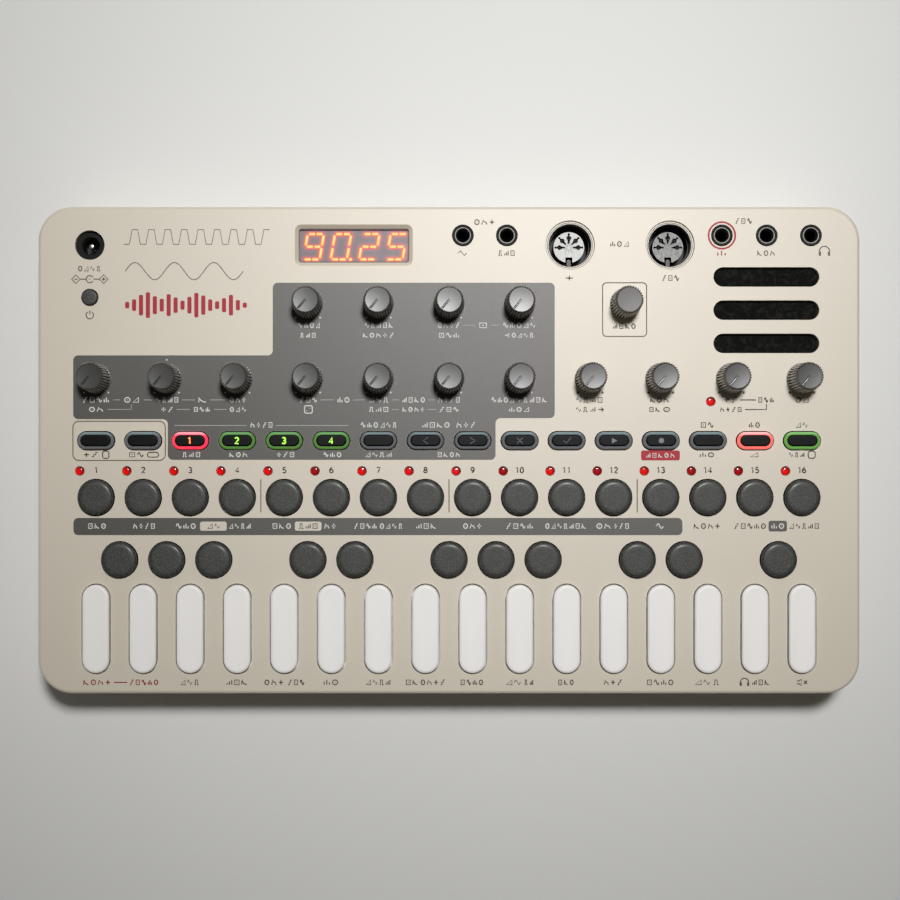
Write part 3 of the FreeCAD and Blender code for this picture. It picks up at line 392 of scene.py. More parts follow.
def joined(*meshes):
    """One mesh from several, each with its own material slot."""
    whole = bmesh.new()
    result = bpy.data.meshes.new("joined")
    for index, mesh in enumerate(meshes):
        first = len(whole.faces)
        whole.from_mesh(mesh)
        whole.faces.ensure_lookup_table()
        for face in whole.faces[first:]:
            face.material_index = index
        result.materials.append(mesh.materials[0])
    whole.to_mesh(result)
    whole.free()
    return result


light_low, light_high = extent("indicator_lights")
light_left, light_above, tempo_left, tempo_above = 5.93, 9.6, 7.4, 14.2
light_places = [(column_x(column) - light_left, row_y("step_buttons_1") + light_above)
                for column in range(16)]
light_places.append((column_x(13.5) - tempo_left, row_y("track_buttons") + tempo_above))
lens = {"roughness": 0.14, "grain": 3.0, "relief": 0.0, "Coat_Weight": 0.4}
lit_red = finish("lit_red", paint(0.90, 0.03, 0.04), Emission_Color=paint(1.0, 0.04, 0.03),
                 Emission_Strength=0.28, **lens)
# Where a dome's mark rises, its colour and its glow are darkened: painted shade.
tint(lit_red, paint(0.26, 0.0, 0.01))
tint(lit_red, paint(0.10, 0.0, 0.0), "Emission Color")
unlit_red = finish("unlit_red", paint(0.72, 0.02, 0.03), Emission_Color=paint(0.8, 0.02, 0.02),
                   Emission_Strength=0.06, **lens)
# The unlit domes carry the same painted shade.
tint(unlit_red, paint(0.20, 0.0, 0.01))
panel_top = round(extent("top_case")[1].z, 3)
lens_radius = 1.6


def dome_painted_light(x, y, z):
    """Painted light and shade on a dome: darker at its rim, towards the upper right and below the panel, and
    lighter towards the lower left, where its lens would throw the lamp's light.
    """
    if z < panel_top - 0.1:
        return 1.0
    outward, away = math.hypot(x, y) / lens_radius, (0.6 * x + 0.8 * y) / lens_radius
    return max(0.0, min(1.0, 0.2 + 0.5 * outward ** 3 + 0.5 * away))


dome_profile = [(2.1, light_low.z), (2.1, panel_top - 3.4), (2.0, panel_top - 3.4), (2.0, panel_top - 2.6),
                (lens_radius, panel_top - 2.6), (lens_radius, panel_top - 0.2)]
dome_profile += shoulder(lens_radius, light_high.z, 0.85, 6) + [(0.4, light_high.z), (0.1, light_high.z)]
domes = [turned(dome_profile, material, dome_painted_light, steps=8) for material in (lit_red, unlit_red)]
unlit_places = [light_places.pop(step) for step in (14, 13, 11, 9, 5)]
cell_light = prism(1.8, 1.8, 0.2, light_low.z, light_low.z + 1.0, moulded_black, 2)
cell_places = [(column_x(column) + side * 5.2, row_y("track_buttons"))
               for column in range(16) for side in (-1, 1)]
fit("panel_lights", joined(repeated(domes[0], light_places), repeated(domes[1], unlit_places),
                           repeated(cell_light, cell_places)), "case", "light_red", "indicator_lights")

# Display: a module of four digits on the board, with a smoked face that the lit segments glow through,
# behind a clear window with a dark edge that rests under the panel's bevelled opening.
module_low, module_high = extent("display_module")
coat("display_module", moulded_black)
display_x, display_y = centre_of("display_window")
digits_y = display_y - 0.25
half_width, half_height, stroke, slant = 2.93, 4.6, 1.05, math.tan(math.radians(9.5))
end_gap, middle_gap = 0.6, 0.42
digit_places = (-14.7, -4.8, 5.5, 15.4)
face_z = module_high.z

# The two ends of each segment, in half widths and half heights from the middle of its digit.
segment_ends = {
    "a": ((-1, 1), (0, 1)), "b": ((0, 1), (1, 1)), "c": ((1, 1), (1, 0)), "d": ((1, 0), (1, -1)),
    "e": ((0, -1), (1, -1)), "f": ((-1, -1), (0, -1)), "g": ((-1, 0), (-1, -1)), "h": ((-1, 1), (-1, 0)),
    "j": ((-1, 0), (0, 0)), "k": ((0, 0), (1, 0)),
}
shown = {"9": "abcdefhjk", "0": "abcdefgh", "2": "abcjkgef", "5": "abhjkdef"}
strokes = []
for figure, place in zip("9025", digit_places):
    for key in shown[figure]:
        start, end = (Vector((x * half_width, y * half_height)) for x, y in segment_ends[key])
        along = (end - start).normalized()
        gaps = [middle_gap if x == 0 else end_gap for x, _ in segment_ends[key]]
        strokes.append([Vector((display_x + place + point.x + point.y * slant, digits_y + point.y))
                        for point in (start + along * gaps[0], end - along * gaps[1])])
dot_x, dot_y = display_x - 1.33, digits_y - half_height
strokes.append([Vector((dot_x - 0.05, dot_y)), Vector((dot_x + 0.05, dot_y))])


def distance(point, ends):
    """How far a point is from a stroke's middle line."""
    run = ends[1] - ends[0]
    share = max(0.0, min(1.0, (point - ends[0]).dot(run) / run.length_squared))
    return (point - ends[0] - run * share).length


segment_light = finish("segment_light", paint(1.0, 0.5, 0.25), 0.4, relief=0.0,
                       Emission_Color=paint(1.0, 0.86, 0.47), Emission_Strength=0.95)
tint(segment_light, paint(1.0, 0.07, 0.04), "Emission Color")
tint(segment_light, paint(0.8, 0.1, 0.08))
rises = [face_z + rise for rise in (0.07, 0.09, 0.12, 0.15)]
bars = []
for start, end in strokes[:-1]:
    along = (end - start).normalized()
    across = Vector((-along.y, along.x))
    rings = []
    for half, z in zip((stroke / 2 + 0.12, stroke / 2 + 0.04, stroke / 2 - 0.12, stroke * 0.2), rises):
        tip = half * 0.5
        ring = [start - along * tip, start - across * half, end - across * half,
                end + along * tip, end + across * half, start + across * half]
        rings.append([(point.x, point.y, z) for point in ring])
    bars.append(stacked(rings, segment_light, [1.0, 0.85, 0.3, 0.0]))
dot = turned(list(zip((0.72, 0.64, 0.5, 0.3), rises)), segment_light, [1.0, 0.85, 0.2, 0.0], steps=5)
fit("digit_segments", joined(*bars, repeated(dot, [(dot_x, dot_y)])), "case", "light_red")
smoked_face = finish("smoked_face", paint(0.455, 0.40, 0.43), 0.4, grain=0.6, relief=0.004, drift=0.06,
                     cloud=9.0, Emission_Color=(0.0, 0.0, 0.0, 1.0), Emission_Strength=0.8)
# Where the plate's mark rises, the segments' glow is painted on the face: its emission turns red and its colour
# pinker.
tint(smoked_face, paint(1.0, 0.20, 0.16), "Emission Color")
tint(smoked_face, paint(0.85, 0.30, 0.28))

# The smoked face is a plate of fine cells, so that each point can carry the painted glow of the strokes beside it:
# a red emission and a pinker colour that fade with distance from them.
cells_x, cells_y = 200, 66
plate_x, plate_y = module_high.x - module_low.x - 0.2, module_high.y - module_low.y - 0.2
plate_top, plate_low = face_z + 0.05, face_z + 0.005
glow_peak, glow_reach = 0.46, 0.45
grid, glow = [], []
for layer in (plate_top, plate_low):
    for row in range(cells_y + 1):
        for column in range(cells_x + 1):
            point = Vector((display_x + (column / cells_x - 0.5) * plate_x,
                            display_y + (row / cells_y - 0.5) * plate_y))
            grid.append((point.x, point.y, layer))
            if layer == plate_low:
                glow.append(0.0)
                continue
            beside = min(distance(point, ends) for ends in strokes) - stroke / 2 - 0.1
            glow.append(glow_peak * math.exp(-max(0.0, beside) / glow_reach))
row_points = cells_x + 1
layer_points = row_points * (cells_y + 1)
quads = []
for row in range(cells_y):
    for column in range(cells_x):
        first = row * row_points + column
        quad = (first, first + 1, first + row_points + 1, first + row_points)
        quads.append(quad)
        quads.append(tuple(layer_points + corner for corner in reversed(quad)))

# The points of the plate's border, once round, where its top and its underside are joined.
border = (list(range(row_points)) + [row * row_points + cells_x for row in range(1, cells_y + 1)]
          + [cells_y * row_points + column for column in range(cells_x - 1, -1, -1)]
          + [row * row_points for row in range(cells_y - 1, 0, -1)])
for here, after in zip(border, border[1:] + border[:1]):
    quads.append((here, here + layer_points, after + layer_points, after))
fit("display_face_plate", closed(grid, quads, smoked_face, glow), "case", "display_face")
clear = finish("clear_acrylic", paint(0.50, 0.47, 0.50), 0.05, grain=5.0, relief=0.0, gloss_drift=0.0,
               Alpha=0.08, IOR=1.49)
smoothed("display_window", clear)
edge_black = finish("edge_black", paint(0.30, 0.26, 0.25), 0.5, grain=0.5, relief=0.004)
edge_outer, edge_inner = (39.95, 12.25, 0.95), (39.3, 11.6, 0.65)
window_top = extent("display_window")[1].z
window_edge = stacked([outline(*spans, window_top + z) for spans, z in (
    (edge_outer, -0.02), (edge_outer, 0.05), (edge_inner, 0.05), (edge_inner, -0.02))], edge_black, loop=True)
fit("window_edge", shifted(window_edge, display_x, display_y), "case", "socket_black")

# Mini jacks: black moulded bodies on the socket board, each with a plated bush that comes up through
# the panel, a lighter inner ring at its mouth and the dark barrel below it.
mounts = {mount["name"]: mount for mount in frame["record"]["mounts"]}


def places_of(*names):
    """Where the record's mounts are, in millimetres."""
    return [(mounts[name]["pos_m"][0] / mm, mounts[name]["pos_m"][1] / mm) for name in names]


jack_low, jack_high = extent("mini_jacks")
dark_nickel = finish("dark_nickel", paint(0.49, 0.49, 0.47), 0.5, grain=0.3, relief=0.03, drift=0.16,
                     cloud=0.8, Metallic=0.6)
bright_nickel = finish("bright_nickel", paint(0.82, 0.81, 0.79), 0.25, grain=0.8, relief=0.004, drift=0.06,
                       cloud=3.0, Metallic=1.0)
barrel_black = finish("barrel_black", paint(0.045, 0.045, 0.045), 0.55, grain=0.4, relief=0.01,
                      Specular_IOR_Level=0.15)
jack_places = places_of("sync_in_jack", "sync_out_jack", "line_in_jack", "line_out_jack", "headphones_jack")
bush_top = jack_high.z
collar_black = finish("collar_black", paint(0.10, 0.097, 0.092), 0.5, grain=0.4, relief=0.01, drift=0.1,
                      cloud=1.5, Specular_IOR_Level=0.22)
bush = turned([(2.98, bush_top - 3.0), (3.8, bush_top - 3.0)] + shoulder(3.8, bush_top, 0.3, 3)
              + [(3.3, bush_top), (2.98, bush_top - 0.2)], collar_black, loop=True, steps=14)
throat = turned([(2.5, bush_top - 2.6), (2.98, bush_top - 2.6), (2.98, bush_top - 0.25),
                 (2.9, bush_top - 0.15), (2.75, bush_top - 0.12), (2.58, bush_top - 0.18),
                 (2.5, bush_top - 0.35)], dark_nickel, loop=True, steps=14)
barrel = turned([(1.8, jack_low.z + 1.0), (3.7, jack_low.z + 1.0), (3.7, bush_top - 3.0),
                 (2.48, bush_top - 3.0), (2.48, bush_top - 1.2), (1.85, bush_top - 1.6),
                 (1.8, bush_top - 1.8)], barrel_black, loop=True)


def cut_away(mesh, cutter):
    """What is left of a solid when another is cut out of it."""
    solid, tool = placed("solid", mesh), placed("tool", cutter)
    cut = solid.modifiers.new("Cut", "BOOLEAN")
    cut.operation = "DIFFERENCE"
    cut.solver = "EXACT"
    cut.object = tool
    result = plain_mesh(solid)
    bpy.data.objects.remove(tool)
    return result


def bored(mesh, diameter, low, high):
    """Cuts a round hole down a solid, so that what stands in it is seen."""
    return cut_away(mesh, turned([(diameter / 2, low), (diameter / 2, high)], mesh.materials[0]))


jack_body = prism(9.0, 10.0, 0.5, jack_low.z, bush_top - 2.75, moulded_black)
jack_body = bored(jack_body, 7.5, jack_low.z + 0.9, bush_top)
fit("jack_bodies", joined(repeated(jack_body, jack_places), repeated(barrel, jack_places)), "case",
    "socket_black", "mini_jacks")
fit("jack_bushes", repeated(bush, jack_places), "case", "plated_metal")
fit("jack_throats", repeated(throat, jack_places), "case", "plated_metal")

# Five-pin DIN sockets: a round black housing under the panel, an insert with a thin pale face and a
# black body sunk in it, with five keyhole openings, a keyway, and a tinned contact in each opening.
din_low, din_high = extent("din_sockets")
din_places = places_of("din_in_socket", "din_out_socket")
housing_black = finish("housing_black", paint(0.07, 0.065, 0.06), 0.5, grain=0.4, relief=0.006, drift=0.08,
                       cloud=4.0, Specular_IOR_Level=0.3)
# The two inserts are the same pale part: one face is given a pale colour as a painted reflection of the lamp, and
# the other a mottled grey as painted shade.
insert_white = finish("insert_white", paint(0.86, 0.86, 0.85), 0.5, grain=0.5, relief=0.01, drift=0.10,
                      cloud=1.2, Specular_IOR_Level=0.2)
insert_shaded_grey = finish("insert_shaded_grey", paint(0.56, 0.56, 0.555), 0.45, grain=0.5, relief=0.01, drift=0.42,
                     cloud=1.1, Specular_IOR_Level=0.3)
tinned = finish("tinned_contact", paint(0.60, 0.60, 0.60), 0.3, grain=0.8, relief=0.004, drift=0.06,
                cloud=1.5, Metallic=1.0)
mouth_z, insert_z, well_z = din_high.z - 4.0, din_high.z - 4.3, din_high.z - 12.0
housing = turned([(0.3, din_low.z), (9.8, din_low.z), (9.8, din_high.z), (7.6, din_high.z), (7.6, mouth_z),
                  (7.1, mouth_z), (7.1, well_z), (0.3, well_z)], housing_black, steps=20)

# Two thin black rings of painted shadow lie round the mouth of each socket, just over the face of its surround,
# where the edges of its recess would throw shade.
shadow_ring_low, shadow_ring_high = 31.88, 31.94
shadow_rings = [turned([(inner, shadow_ring_low), (outer, shadow_ring_low), (outer, shadow_ring_high), (inner, shadow_ring_high)], edge_black,
                loop=True, steps=20) for inner, outer in ((8.02, 8.28), (8.66, 8.89))]


def flat_piece(outlines, low, high, material):
    """A flat piece with holes: the first outline is its edge, and the others are cut out of it."""
    curve = bpy.data.curves.new("flat", "CURVE")
    curve.dimensions = "2D"
    curve.fill_mode = "BOTH"
    curve.extrude = (high - low) / 2 * mm
    for points in outlines:
        spline = curve.splines.new("POLY")
        spline.points.add(len(points) - 1)
        for target, point in zip(spline.points, points):
            target.co = (point[0] * mm, point[1] * mm, 0.0, 1.0)
        spline.use_cyclic_u = True
    mesh = plain_mesh(placed("flat", curve))
    mesh.transform(Matrix.Translation((0.0, 0.0, (low + high) / 2 * mm)))
    cleaned(mesh)
    mesh.materials.clear()
    mesh.materials.append(material)
    return mesh


def spun(points, angle):
    """Points turned about the origin."""
    return [(x * math.cos(angle) - y * math.sin(angle), x * math.sin(angle) + y * math.cos(angle))
            for x, y in points]


# The insert's outline has a keyway at the front; its openings widen round the contacts and end in a slot.
keyhole = [(1.4, 0.12), (1.5, 0.28), (1.75, 0.36), (2.0, 0.32), (2.3, 0.33), (2.9, 0.66), (3.3, 0.9),
           (3.6, 0.92), (3.85, 0.8), (4.15, 0.45), (4.35, 0.28), (4.55, 0.27), (4.7, 0.37), (4.92, 0.44),
           (5.15, 0.33), (5.28, 0.0)]
keyhole += [(x, -y) for x, y in reversed(keyhole[:-1])]
keyway_half, keyway_y, insert_radius = 1.25, -3.6, 5.6
reach = math.asin(keyway_half / insert_radius)
rim = [(insert_radius * math.cos(angle), insert_radius * math.sin(angle)) for angle in
       [-math.pi / 2 + reach + step / 60 * (2 * math.pi - 2 * reach) for step in range(61)]]
rim += [(-keyway_half, keyway_y), (keyway_half, keyway_y)]
contact_turns = [math.radians(turn) for turn in (0, 45, 90, 135, 180)]
insert_outlines = [rim] + [spun(keyhole, turn) for turn in contact_turns]
insert_body = flat_piece(insert_outlines, well_z, insert_z - 0.5, housing_black)
tab = shifted(prism(1.5, 2.6, 0.7, well_z, insert_z - 0.5,
                    finish("keyway_tab", paint(0.30, 0.27, 0.25), 0.5, grain=0.4)), 0.0, -5.65)
crease_grey = finish("crease_grey", paint(0.45, 0.45, 0.44), 0.5, grain=0.4)
crease_count = 11
creases = []
for index in range(crease_count):
    crease = shifted(prism(1.5, 0.17, 0.06, insert_z - 0.02, insert_z + 0.03, crease_grey, 2),
                     1.2 + 0.3 * (index % 2), 0.0)
    crease.transform(Matrix.Rotation(math.radians(index * 360 / crease_count + 7), 4, "Z"))
    creases.append(crease)
contact = turned([(0.3, insert_z - 4.0), (0.68, insert_z - 4.0), (0.68, insert_z - 1.4),
                  (0.55, insert_z - 1.3), (0.3, insert_z - 1.4)], tinned, loop=True, steps=4)
contact_ring = 3.5
contact_places = [(x + contact_ring * math.cos(turn), y + contact_ring * math.sin(turn))
                  for x, y in din_places for turn in contact_turns]
fit("din_housings", joined(repeated(housing, din_places), repeated(insert_body, din_places),
                           repeated(tab, din_places)), "case", "socket_black", "din_sockets")
# The left face takes the painted reflection and the right one the painted shade.
for side, place, plastic in zip(("left", "right"), din_places, (insert_white, insert_shaded_grey)):
    fit(f"din_face_{side}", repeated(flat_piece(insert_outlines, insert_z - 0.5, insert_z, plastic), [place]),
        "case", "socket_black")
fit("din_creases", repeated(joined(*creases), din_places), "case", "socket_black")
fit("din_contacts", repeated(contact, contact_places), "case", "plated_metal")
fit("din_seals", joined(*[repeated(shadow_ring, din_places) for shadow_ring in shadow_rings]), "case", "socket_black")

# DC socket: a black moulded body on the power board, just under its hole in the panel, with a bright
# centre pin in its well.
dc_low, dc_high = extent("dc_socket")
dc_place = places_of("power_inlet")[0]
dc_top = dc_high.z
dc_body = bored(prism(9.0, 12.0, 0.4, dc_low.z, dc_top, housing_black), 6.3, dc_top - 10.0, dc_top + 1.0)
collar = turned([(3.15, dc_top - 0.1), (5.2, dc_top - 0.1), (5.2, dc_top + 0.12), (3.3, dc_top + 0.12),
                 (3.15, dc_top)], barrel_black, loop=True)
dc_pin = turned([(1.05, dc_top - 10.2)] + shoulder(1.05, dc_top - 1.0, 0.5, 4), bright_nickel, steps=8)
fit("dc_body", shifted(joined(dc_body, collar), *dc_place), "case", "socket_black", "dc_socket")
fit("dc_pin", shifted(dc_pin, *dc_place), "case", "plated_metal")

# Speaker: a pressed basket with its magnet and paper cone, and black acoustic cloth stretched under
# the three slots and stuck down at its edge.
speaker_low, speaker_high = extent("speaker")
speaker_place = centre_of("speaker")
cloth_top = speaker_high.z
cloth_low = cloth_top - 0.4
flange_z, basket_low = cloth_low - 1.2, cloth_low - 7.6
pressed_black = finish("pressed_black", paint(0.10, 0.10, 0.10), 0.4, grain=0.5, relief=0.01, Metallic=0.6)
paper_black = finish("paper_black", paint(0.07, 0.07, 0.07), 0.85, grain=0.6, relief=0.05, drift=0.1,
                     cloud=3.0)
basket = turned([(0.3, basket_low), (11.8, basket_low), (19.2, flange_z), (20.0, flange_z), (20.0, cloth_low),
                 (17.4, cloth_low), (17.4, flange_z), (11.0, basket_low + 0.8), (0.3, basket_low + 0.8)],
                pressed_black, steps=20)
magnet = turned([(0.3, speaker_low.z), (10.5, speaker_low.z), (11.0, speaker_low.z + 0.5),
                 (11.0, basket_low - 0.3), (10.7, basket_low), (0.3, basket_low)], pressed_black, steps=16)
cone_profile = [(0.3, -4.2), (3.5, -4.7), (16.2, -0.7), (17.4, -0.7), (17.4, -0.2), (16.2, -0.2), (3.5, -4.2),
                (2.0, -3.85), (0.3, -3.7)]
cone = turned([(radius, cloth_low + z) for radius, z in cone_profile], paper_black, steps=20)
fit("speaker_basket", shifted(joined(basket, magnet), *speaker_place), "case", "speaker_black", "speaker")
fit("speaker_cone", shifted(cone, *speaker_place), "case", "speaker_black")

# The cloth's creases come from a distorted noise, and its threads from two crossing waves.
cloth_black = bpy.data.materials.new("acoustic_cloth")
cloth_black.use_nodes = True
weave = Graph(cloth_black.node_tree)
cloth_place = weave.add("ShaderNodeTexCoord")["Object"]
swirl = weave.add("ShaderNodeTexNoise", {
    "Vector": cloth_place, "Scale": 240.0, "Detail": 8.0, "Distortion": 2.6})[0]
threads = [weave.add("ShaderNodeTexWave", {"Vector": cloth_place, "Scale": 700.0}, bands_direction=way)["Fac"]
           for way in ("X", "Y")]
crossed = weave.add("ShaderNodeMath", {0: threads[0], 1: threads[1]}, operation="MULTIPLY")[0]
height = weave.add("ShaderNodeMath", {0: swirl, 1: 2.0, 2: crossed}, operation="MULTIPLY_ADD")[0]
cloth_shader = cloth_black.node_tree.nodes["Principled BSDF"]
cloth_tone = weave.add("ShaderNodeValToRGB", {"Fac": swirl})
ramp = cloth_black.node_tree.nodes[-1].color_ramp
ramp.elements[0].position, ramp.elements[0].color = 0.48, paint(0.04, 0.038, 0.033)
ramp.elements[1].position, ramp.elements[1].color = 0.78, paint(0.17, 0.17, 0.155)
cloth_black.node_tree.links.new(cloth_tone[0], cloth_shader.inputs["Base Color"])
cloth_bump = weave.add("ShaderNodeBump", {"Height": height, "Distance": 0.12 * mm, "Strength": 1.0})[0]
cloth_black.node_tree.links.new(cloth_bump, cloth_shader.inputs["Normal"])
cloth_shader.inputs["Roughness"].default_value = 0.9
cloth_shader.inputs["Specular IOR Level"].default_value = 0.2
cloth = prism(42.9, 37.9, 2.0, cloth_low + 0.05, cloth_top - 0.05, cloth_black, 4)
cloth_piece = fit("speaker_cloth", shifted(cloth, *speaker_place), "case", "speaker_black")

# Top case: the deep cream shell that carries the control panel, moulded with every hole and recess,
# and held by six screws from below.
panel_cream = finish("panel_cream", paint(0.83, 0.795, 0.725), 0.43, grain=0.35, relief=0.012, drift=0.012,
                     cloud=60.0, Specular_IOR_Level=0.65)
smoothed("top_case", panel_cream)
smoothed("case_screws", finish("black_oxide", paint(0.14, 0.14, 0.14), 0.4, grain=0.6, relief=0.01,
                               Metallic=0.9))

# Printing: silk-screened ink on the panel, dark areas round the controls first and then pale, grey and
# red lines, signs and figures. The ink is a few hundredths of a millimetre thick.
knob_row, upper_row = row_y("knob_cutoff"), row_y("knob_bank")
function_row = row_y("track_buttons")
ink_dark = finish("ink_dark", paint(0.278, 0.270, 0.247), 0.42, grain=0.4, relief=0.006, drift=0.02,
                  cloud=50.0)
ink_colours = {"pale": (0.90, 0.89, 0.87), "dim": (0.72, 0.71, 0.69), "grey": (0.34, 0.315, 0.285),
               "soft": (0.45, 0.42, 0.39), "frame": (0.46, 0.41, 0.34), "red": (0.58, 0.12, 0.18),
               "label": (0.68, 0.09, 0.17)}
inks = {name: finish(f"ink_{name}", paint(*colour), 0.5, grain=0.5, relief=0.004, drift=0.03, cloud=4.0,
                     Specular_IOR_Level=0.3)
        for name, colour in ink_colours.items()}


def rounded_path(points, radius, steps=6):
    """A closed path of straight runs with each corner rounded."""
    path = []
    for index, point in enumerate(points):
        corner = Vector(point)
        before = (Vector(points[index - 1]) - corner).normalized()
        after = (Vector(points[(index + 1) % len(points)]) - corner).normalized()
        centre = corner + (before + after) * radius
        for step in range(steps + 1):
            arm = (-after).slerp(-before, step / steps) * radius
            path.append(tuple(centre + arm))
    return path


def moved(points, x, y):
    """Points with a new middle, their height dropped."""
    return [(point[0] + x, point[1] + y) for point in points]


def block(x, y, span_x, span_y, corner):
    """The outline of a printed block."""
    return moved(outline(span_x, span_y, corner, 0.0, 6), x, y)


# The dark areas: the large one with an opening at each control in it, and the bands under the round buttons.
dark_edge = rounded_path([(-135.8, 34.25), (-63.7, 34.25), (-63.7, 60.5), (38.2, 60.5), (38.2, 11.56),
                          (16.8, 11.56), (16.8, -3.5), (-101.6, -3.5), (-101.6, 11.2), (-135.8, 11.2)], 1.8)
dark_knobs = [(column_x(1.5 * index), knob_row) for index in range(7)]
dark_knobs += [(column_x(1.5 * index), upper_row) for index in range(3, 7)]
knob_holes = [block(x, y, 7.0, 7.0, 3.5) for x, y in dark_knobs]
button_holes = [block(column_x(column), function_row, 14.0, 7.2, 3.6) for column in range(2, 9)]
ink_low, area_top, mark_top = panel_top - 0.02, panel_top + 0.04, panel_top + 0.06
areas = [flat_piece([dark_edge] + knob_holes + button_holes, ink_low, area_top, ink_dark)]
band_y = -27.45
band = block(-25.68, band_y - 0.15, 220.05, 6.2, 1.7)
pale_pills = [block(x, band_y, 9.65, 3.3, 0.8) for x in (-85.15, -50.9)]
areas.append(flat_piece([band] + pale_pills, ink_low, area_top, ink_dark))
areas.append(flat_piece([block(118.78, band_y, 6.65, 3.9, 0.8)], ink_low, area_top, ink_dark))
fit("print_dark", joined(*areas), "case", "knob_grey")

# Lines are drawn with a flat nib that follows a path and lies in the plane of the panel.
pen = Rule("printed_line", Width="Float", Depth="Float")
path_curve = pen.add("GeometryNodeMeshToCurve", {"Mesh": pen.given["Geometry"]})[0]
upright = pen.add("GeometryNodeSetCurveNormal", {"Curve": path_curve}, mode="Z_UP")[0]
nib = pen.add("GeometryNodeCurvePrimitiveQuadrilateral", {
    "Width": pen.given["Width"], "Height": pen.given["Depth"]})[0]
pen.close(pen.add("GeometryNodeCurveToMesh", {"Curve": upright, "Profile Curve": nib, "Fill Caps": True})[0])


def arc(x, y, radius_x, radius_y, start, turn, steps=16):
    """Points along an arc, in degrees from the right, anticlockwise."""
    turns = [math.radians(start + turn * step / steps) for step in range(steps + 1)]
    return [(x + radius_x * math.cos(angle), y + radius_y * math.sin(angle)) for angle in turns]


# The strokes of each sign, in a square from -1 to 1, and the order in which signs stand for words.
signs = {
    "sine": [[(x / 8 - 1, math.sin(x / 8 * math.pi)) for x in range(17)]],
    "triangle": [[(-1, 0), (-0.5, 1), (0.5, -1), (1, 0)]],
    "square": [[(-1, -1), (-0.5, -1), (-0.5, 1), (0.4, 1), (0.4, -1), (1, -1)]],
    "envelope": [[(-1, -1), (-0.6, 1), (-0.2, 0.1), (0.5, 0.1), (1, -1)]],
    "decay": [[(-1, -1)] + [(x / 8 - 1, 2 * math.exp(-x / 5) - 1) for x in range(17)]],
    "stairs": [[(-1, -1), (-0.4, -1), (-0.4, 0), (0.3, 0), (0.3, 1), (1, 1)]],
    "bars": [[(x, -1), (x, top)] for x, top in ((-0.9, 0.3), (0.0, 1.0), (0.9, 0.0))],
    "level": [[(x, -1), (x, top)] for x, top in ((-0.9, -0.2), (0.0, 0.4), (0.9, 1.0))],
    "target": [arc(0, 0, 0.9, 1, 0, 360), [(-0.1, 0), (0.1, 0)]],
    "box": [[(-0.9, -1), (0.9, -1), (0.9, 1), (-0.9, 1), (-0.9, -1)], [(-0.2, 0), (0.2, 0)]],
    "wedge": [[(-1, -1), (1, -1), (1, 1), (-1, -1)]],
    "arrow": [[(-1, 0), (1, 0)], [(0.2, 0.8), (1, 0), (0.2, -0.8)]],
    "plus": [[(-0.9, 0), (0.9, 0)], [(0, -1), (0, 1)]],
}
word_signs = itertools.cycle(("stairs", "box", "sine", "bars", "target", "wedge", "triangle", "square",
                              "level", "box", "decay", "target", "envelope", "plus"))
lines = {ink: [] for ink in (*inks, "thin")}


def sign(ink, name, x, y, half_x=0.9, half_y=0.9):
    """Adds a sign to an ink's lines."""
    for points in signs[name]:
        lines[ink].append([(x + half_x * across, y + half_y * up) for across, up in points])


sign_pitch, sign_gap, pen_half = 2.25, 0.5, 0.2


def words(ink, y, *spans, height=2.1):
    """Fills each word's place, from left to right, with small signs side by side."""
    for left, right in spans:
        count = max(1, round((right - left) / sign_pitch))
        width = (right - left + sign_gap) / count - sign_gap
        for place in range(count):
            sign(ink, next(word_signs), left + width / 2 + place * (width + sign_gap), y,
                 width / 2 - pen_half, height / 2 - pen_half)


def dashes(ink, y, *spans):
    """Thin level lines between words."""
    lines[ink] += [[(left, y), (right, y)] for left, right in spans]


def once_round(points):
    """A closed path, whose first point comes again at its end."""
    return points + points[:1]


def headphones(ink, x, y, size):
    """An arch with a pad at each end."""
    lines[ink].append(arc(x, y, 1.5 * size, 1.5 * size, 0, 180))
    lines[ink] += [[(x + side * inset * size, y), (x + side * inset * size, y - 1.25 * size)]
                   for side in (-1, 1) for inset in (1.5, 1.15)]


# Under the lower row of knobs, from left to right: a line of names and a smaller line of notes.
lower_words, lower_notes = knob_row - 7.75, knob_row - 11.2
words("pale", lower_words, (-132.5, -122.8), (-117.5, -112.0), (-105.9, -97.7), (-90.6, -87.6),
      (-79.3, -73.3), (-54.0, -47.7), (-40.4, -35.9), (-29.1, -21.8), (-16.9, -8.65), (-3.95, 4.0),
      (15.3, 25.8), (26.7, 28.45), (29.1, 35.4))
dashes("dim", lower_words, (-121.2, -118.9), (-110.3, -107.3), (-96.5, -91.8), (-86.3, -80.8),
       (-46.6, -41.6), (-34.7, -30.3), (-20.6, -18.1), (-7.5, -5.2))
words("pale", lower_notes, (-130.2, -124.9), (-104.2, -99.6), (-92.3, -86.4), (-79.3, -73.3), (-29.1, -21.8),
      (-16.9, -8.8), (-3.6, 3.55), (21.6, 29.0), height=1.9)
dashes("dim", lower_notes, (-98.4, -93.7), (-84.8, -80.4), (-20.6, -18.1), (-7.75, -4.5))
lines["dim"].append([(-123.4, lower_notes), (-114.8, lower_notes), (-114.8, lower_notes + 1.7)])
boxed = block(-50.8, lower_notes, 2.8, 2.7, 0.6)
lines["pale"] += [once_round(boxed), [(-51.5, lower_notes - 0.5), (-51.3, lower_notes - 0.5)],
                  [(-50.3, lower_notes + 0.5), (-50.1, lower_notes + 0.5)]]
words("grey", lower_words, (45.9, 55.6), (72.6, 79.4), (99.2, 104.1), (111.7, 117.4), (125.1, 130.0))
words("grey", lower_notes, (45.8, 50.2), (51.0, 53.0), (72.3, 76.3), (77.3, 80.0), (97.9, 105.8), height=1.9)
dashes("grey", lower_words, (105.2, 110.9))
sign("grey", "arrow", 54.9, lower_notes)
lines["grey"].append([(106.9, lower_notes), (114.7, lower_notes), (114.7, lower_notes + 1.9)])

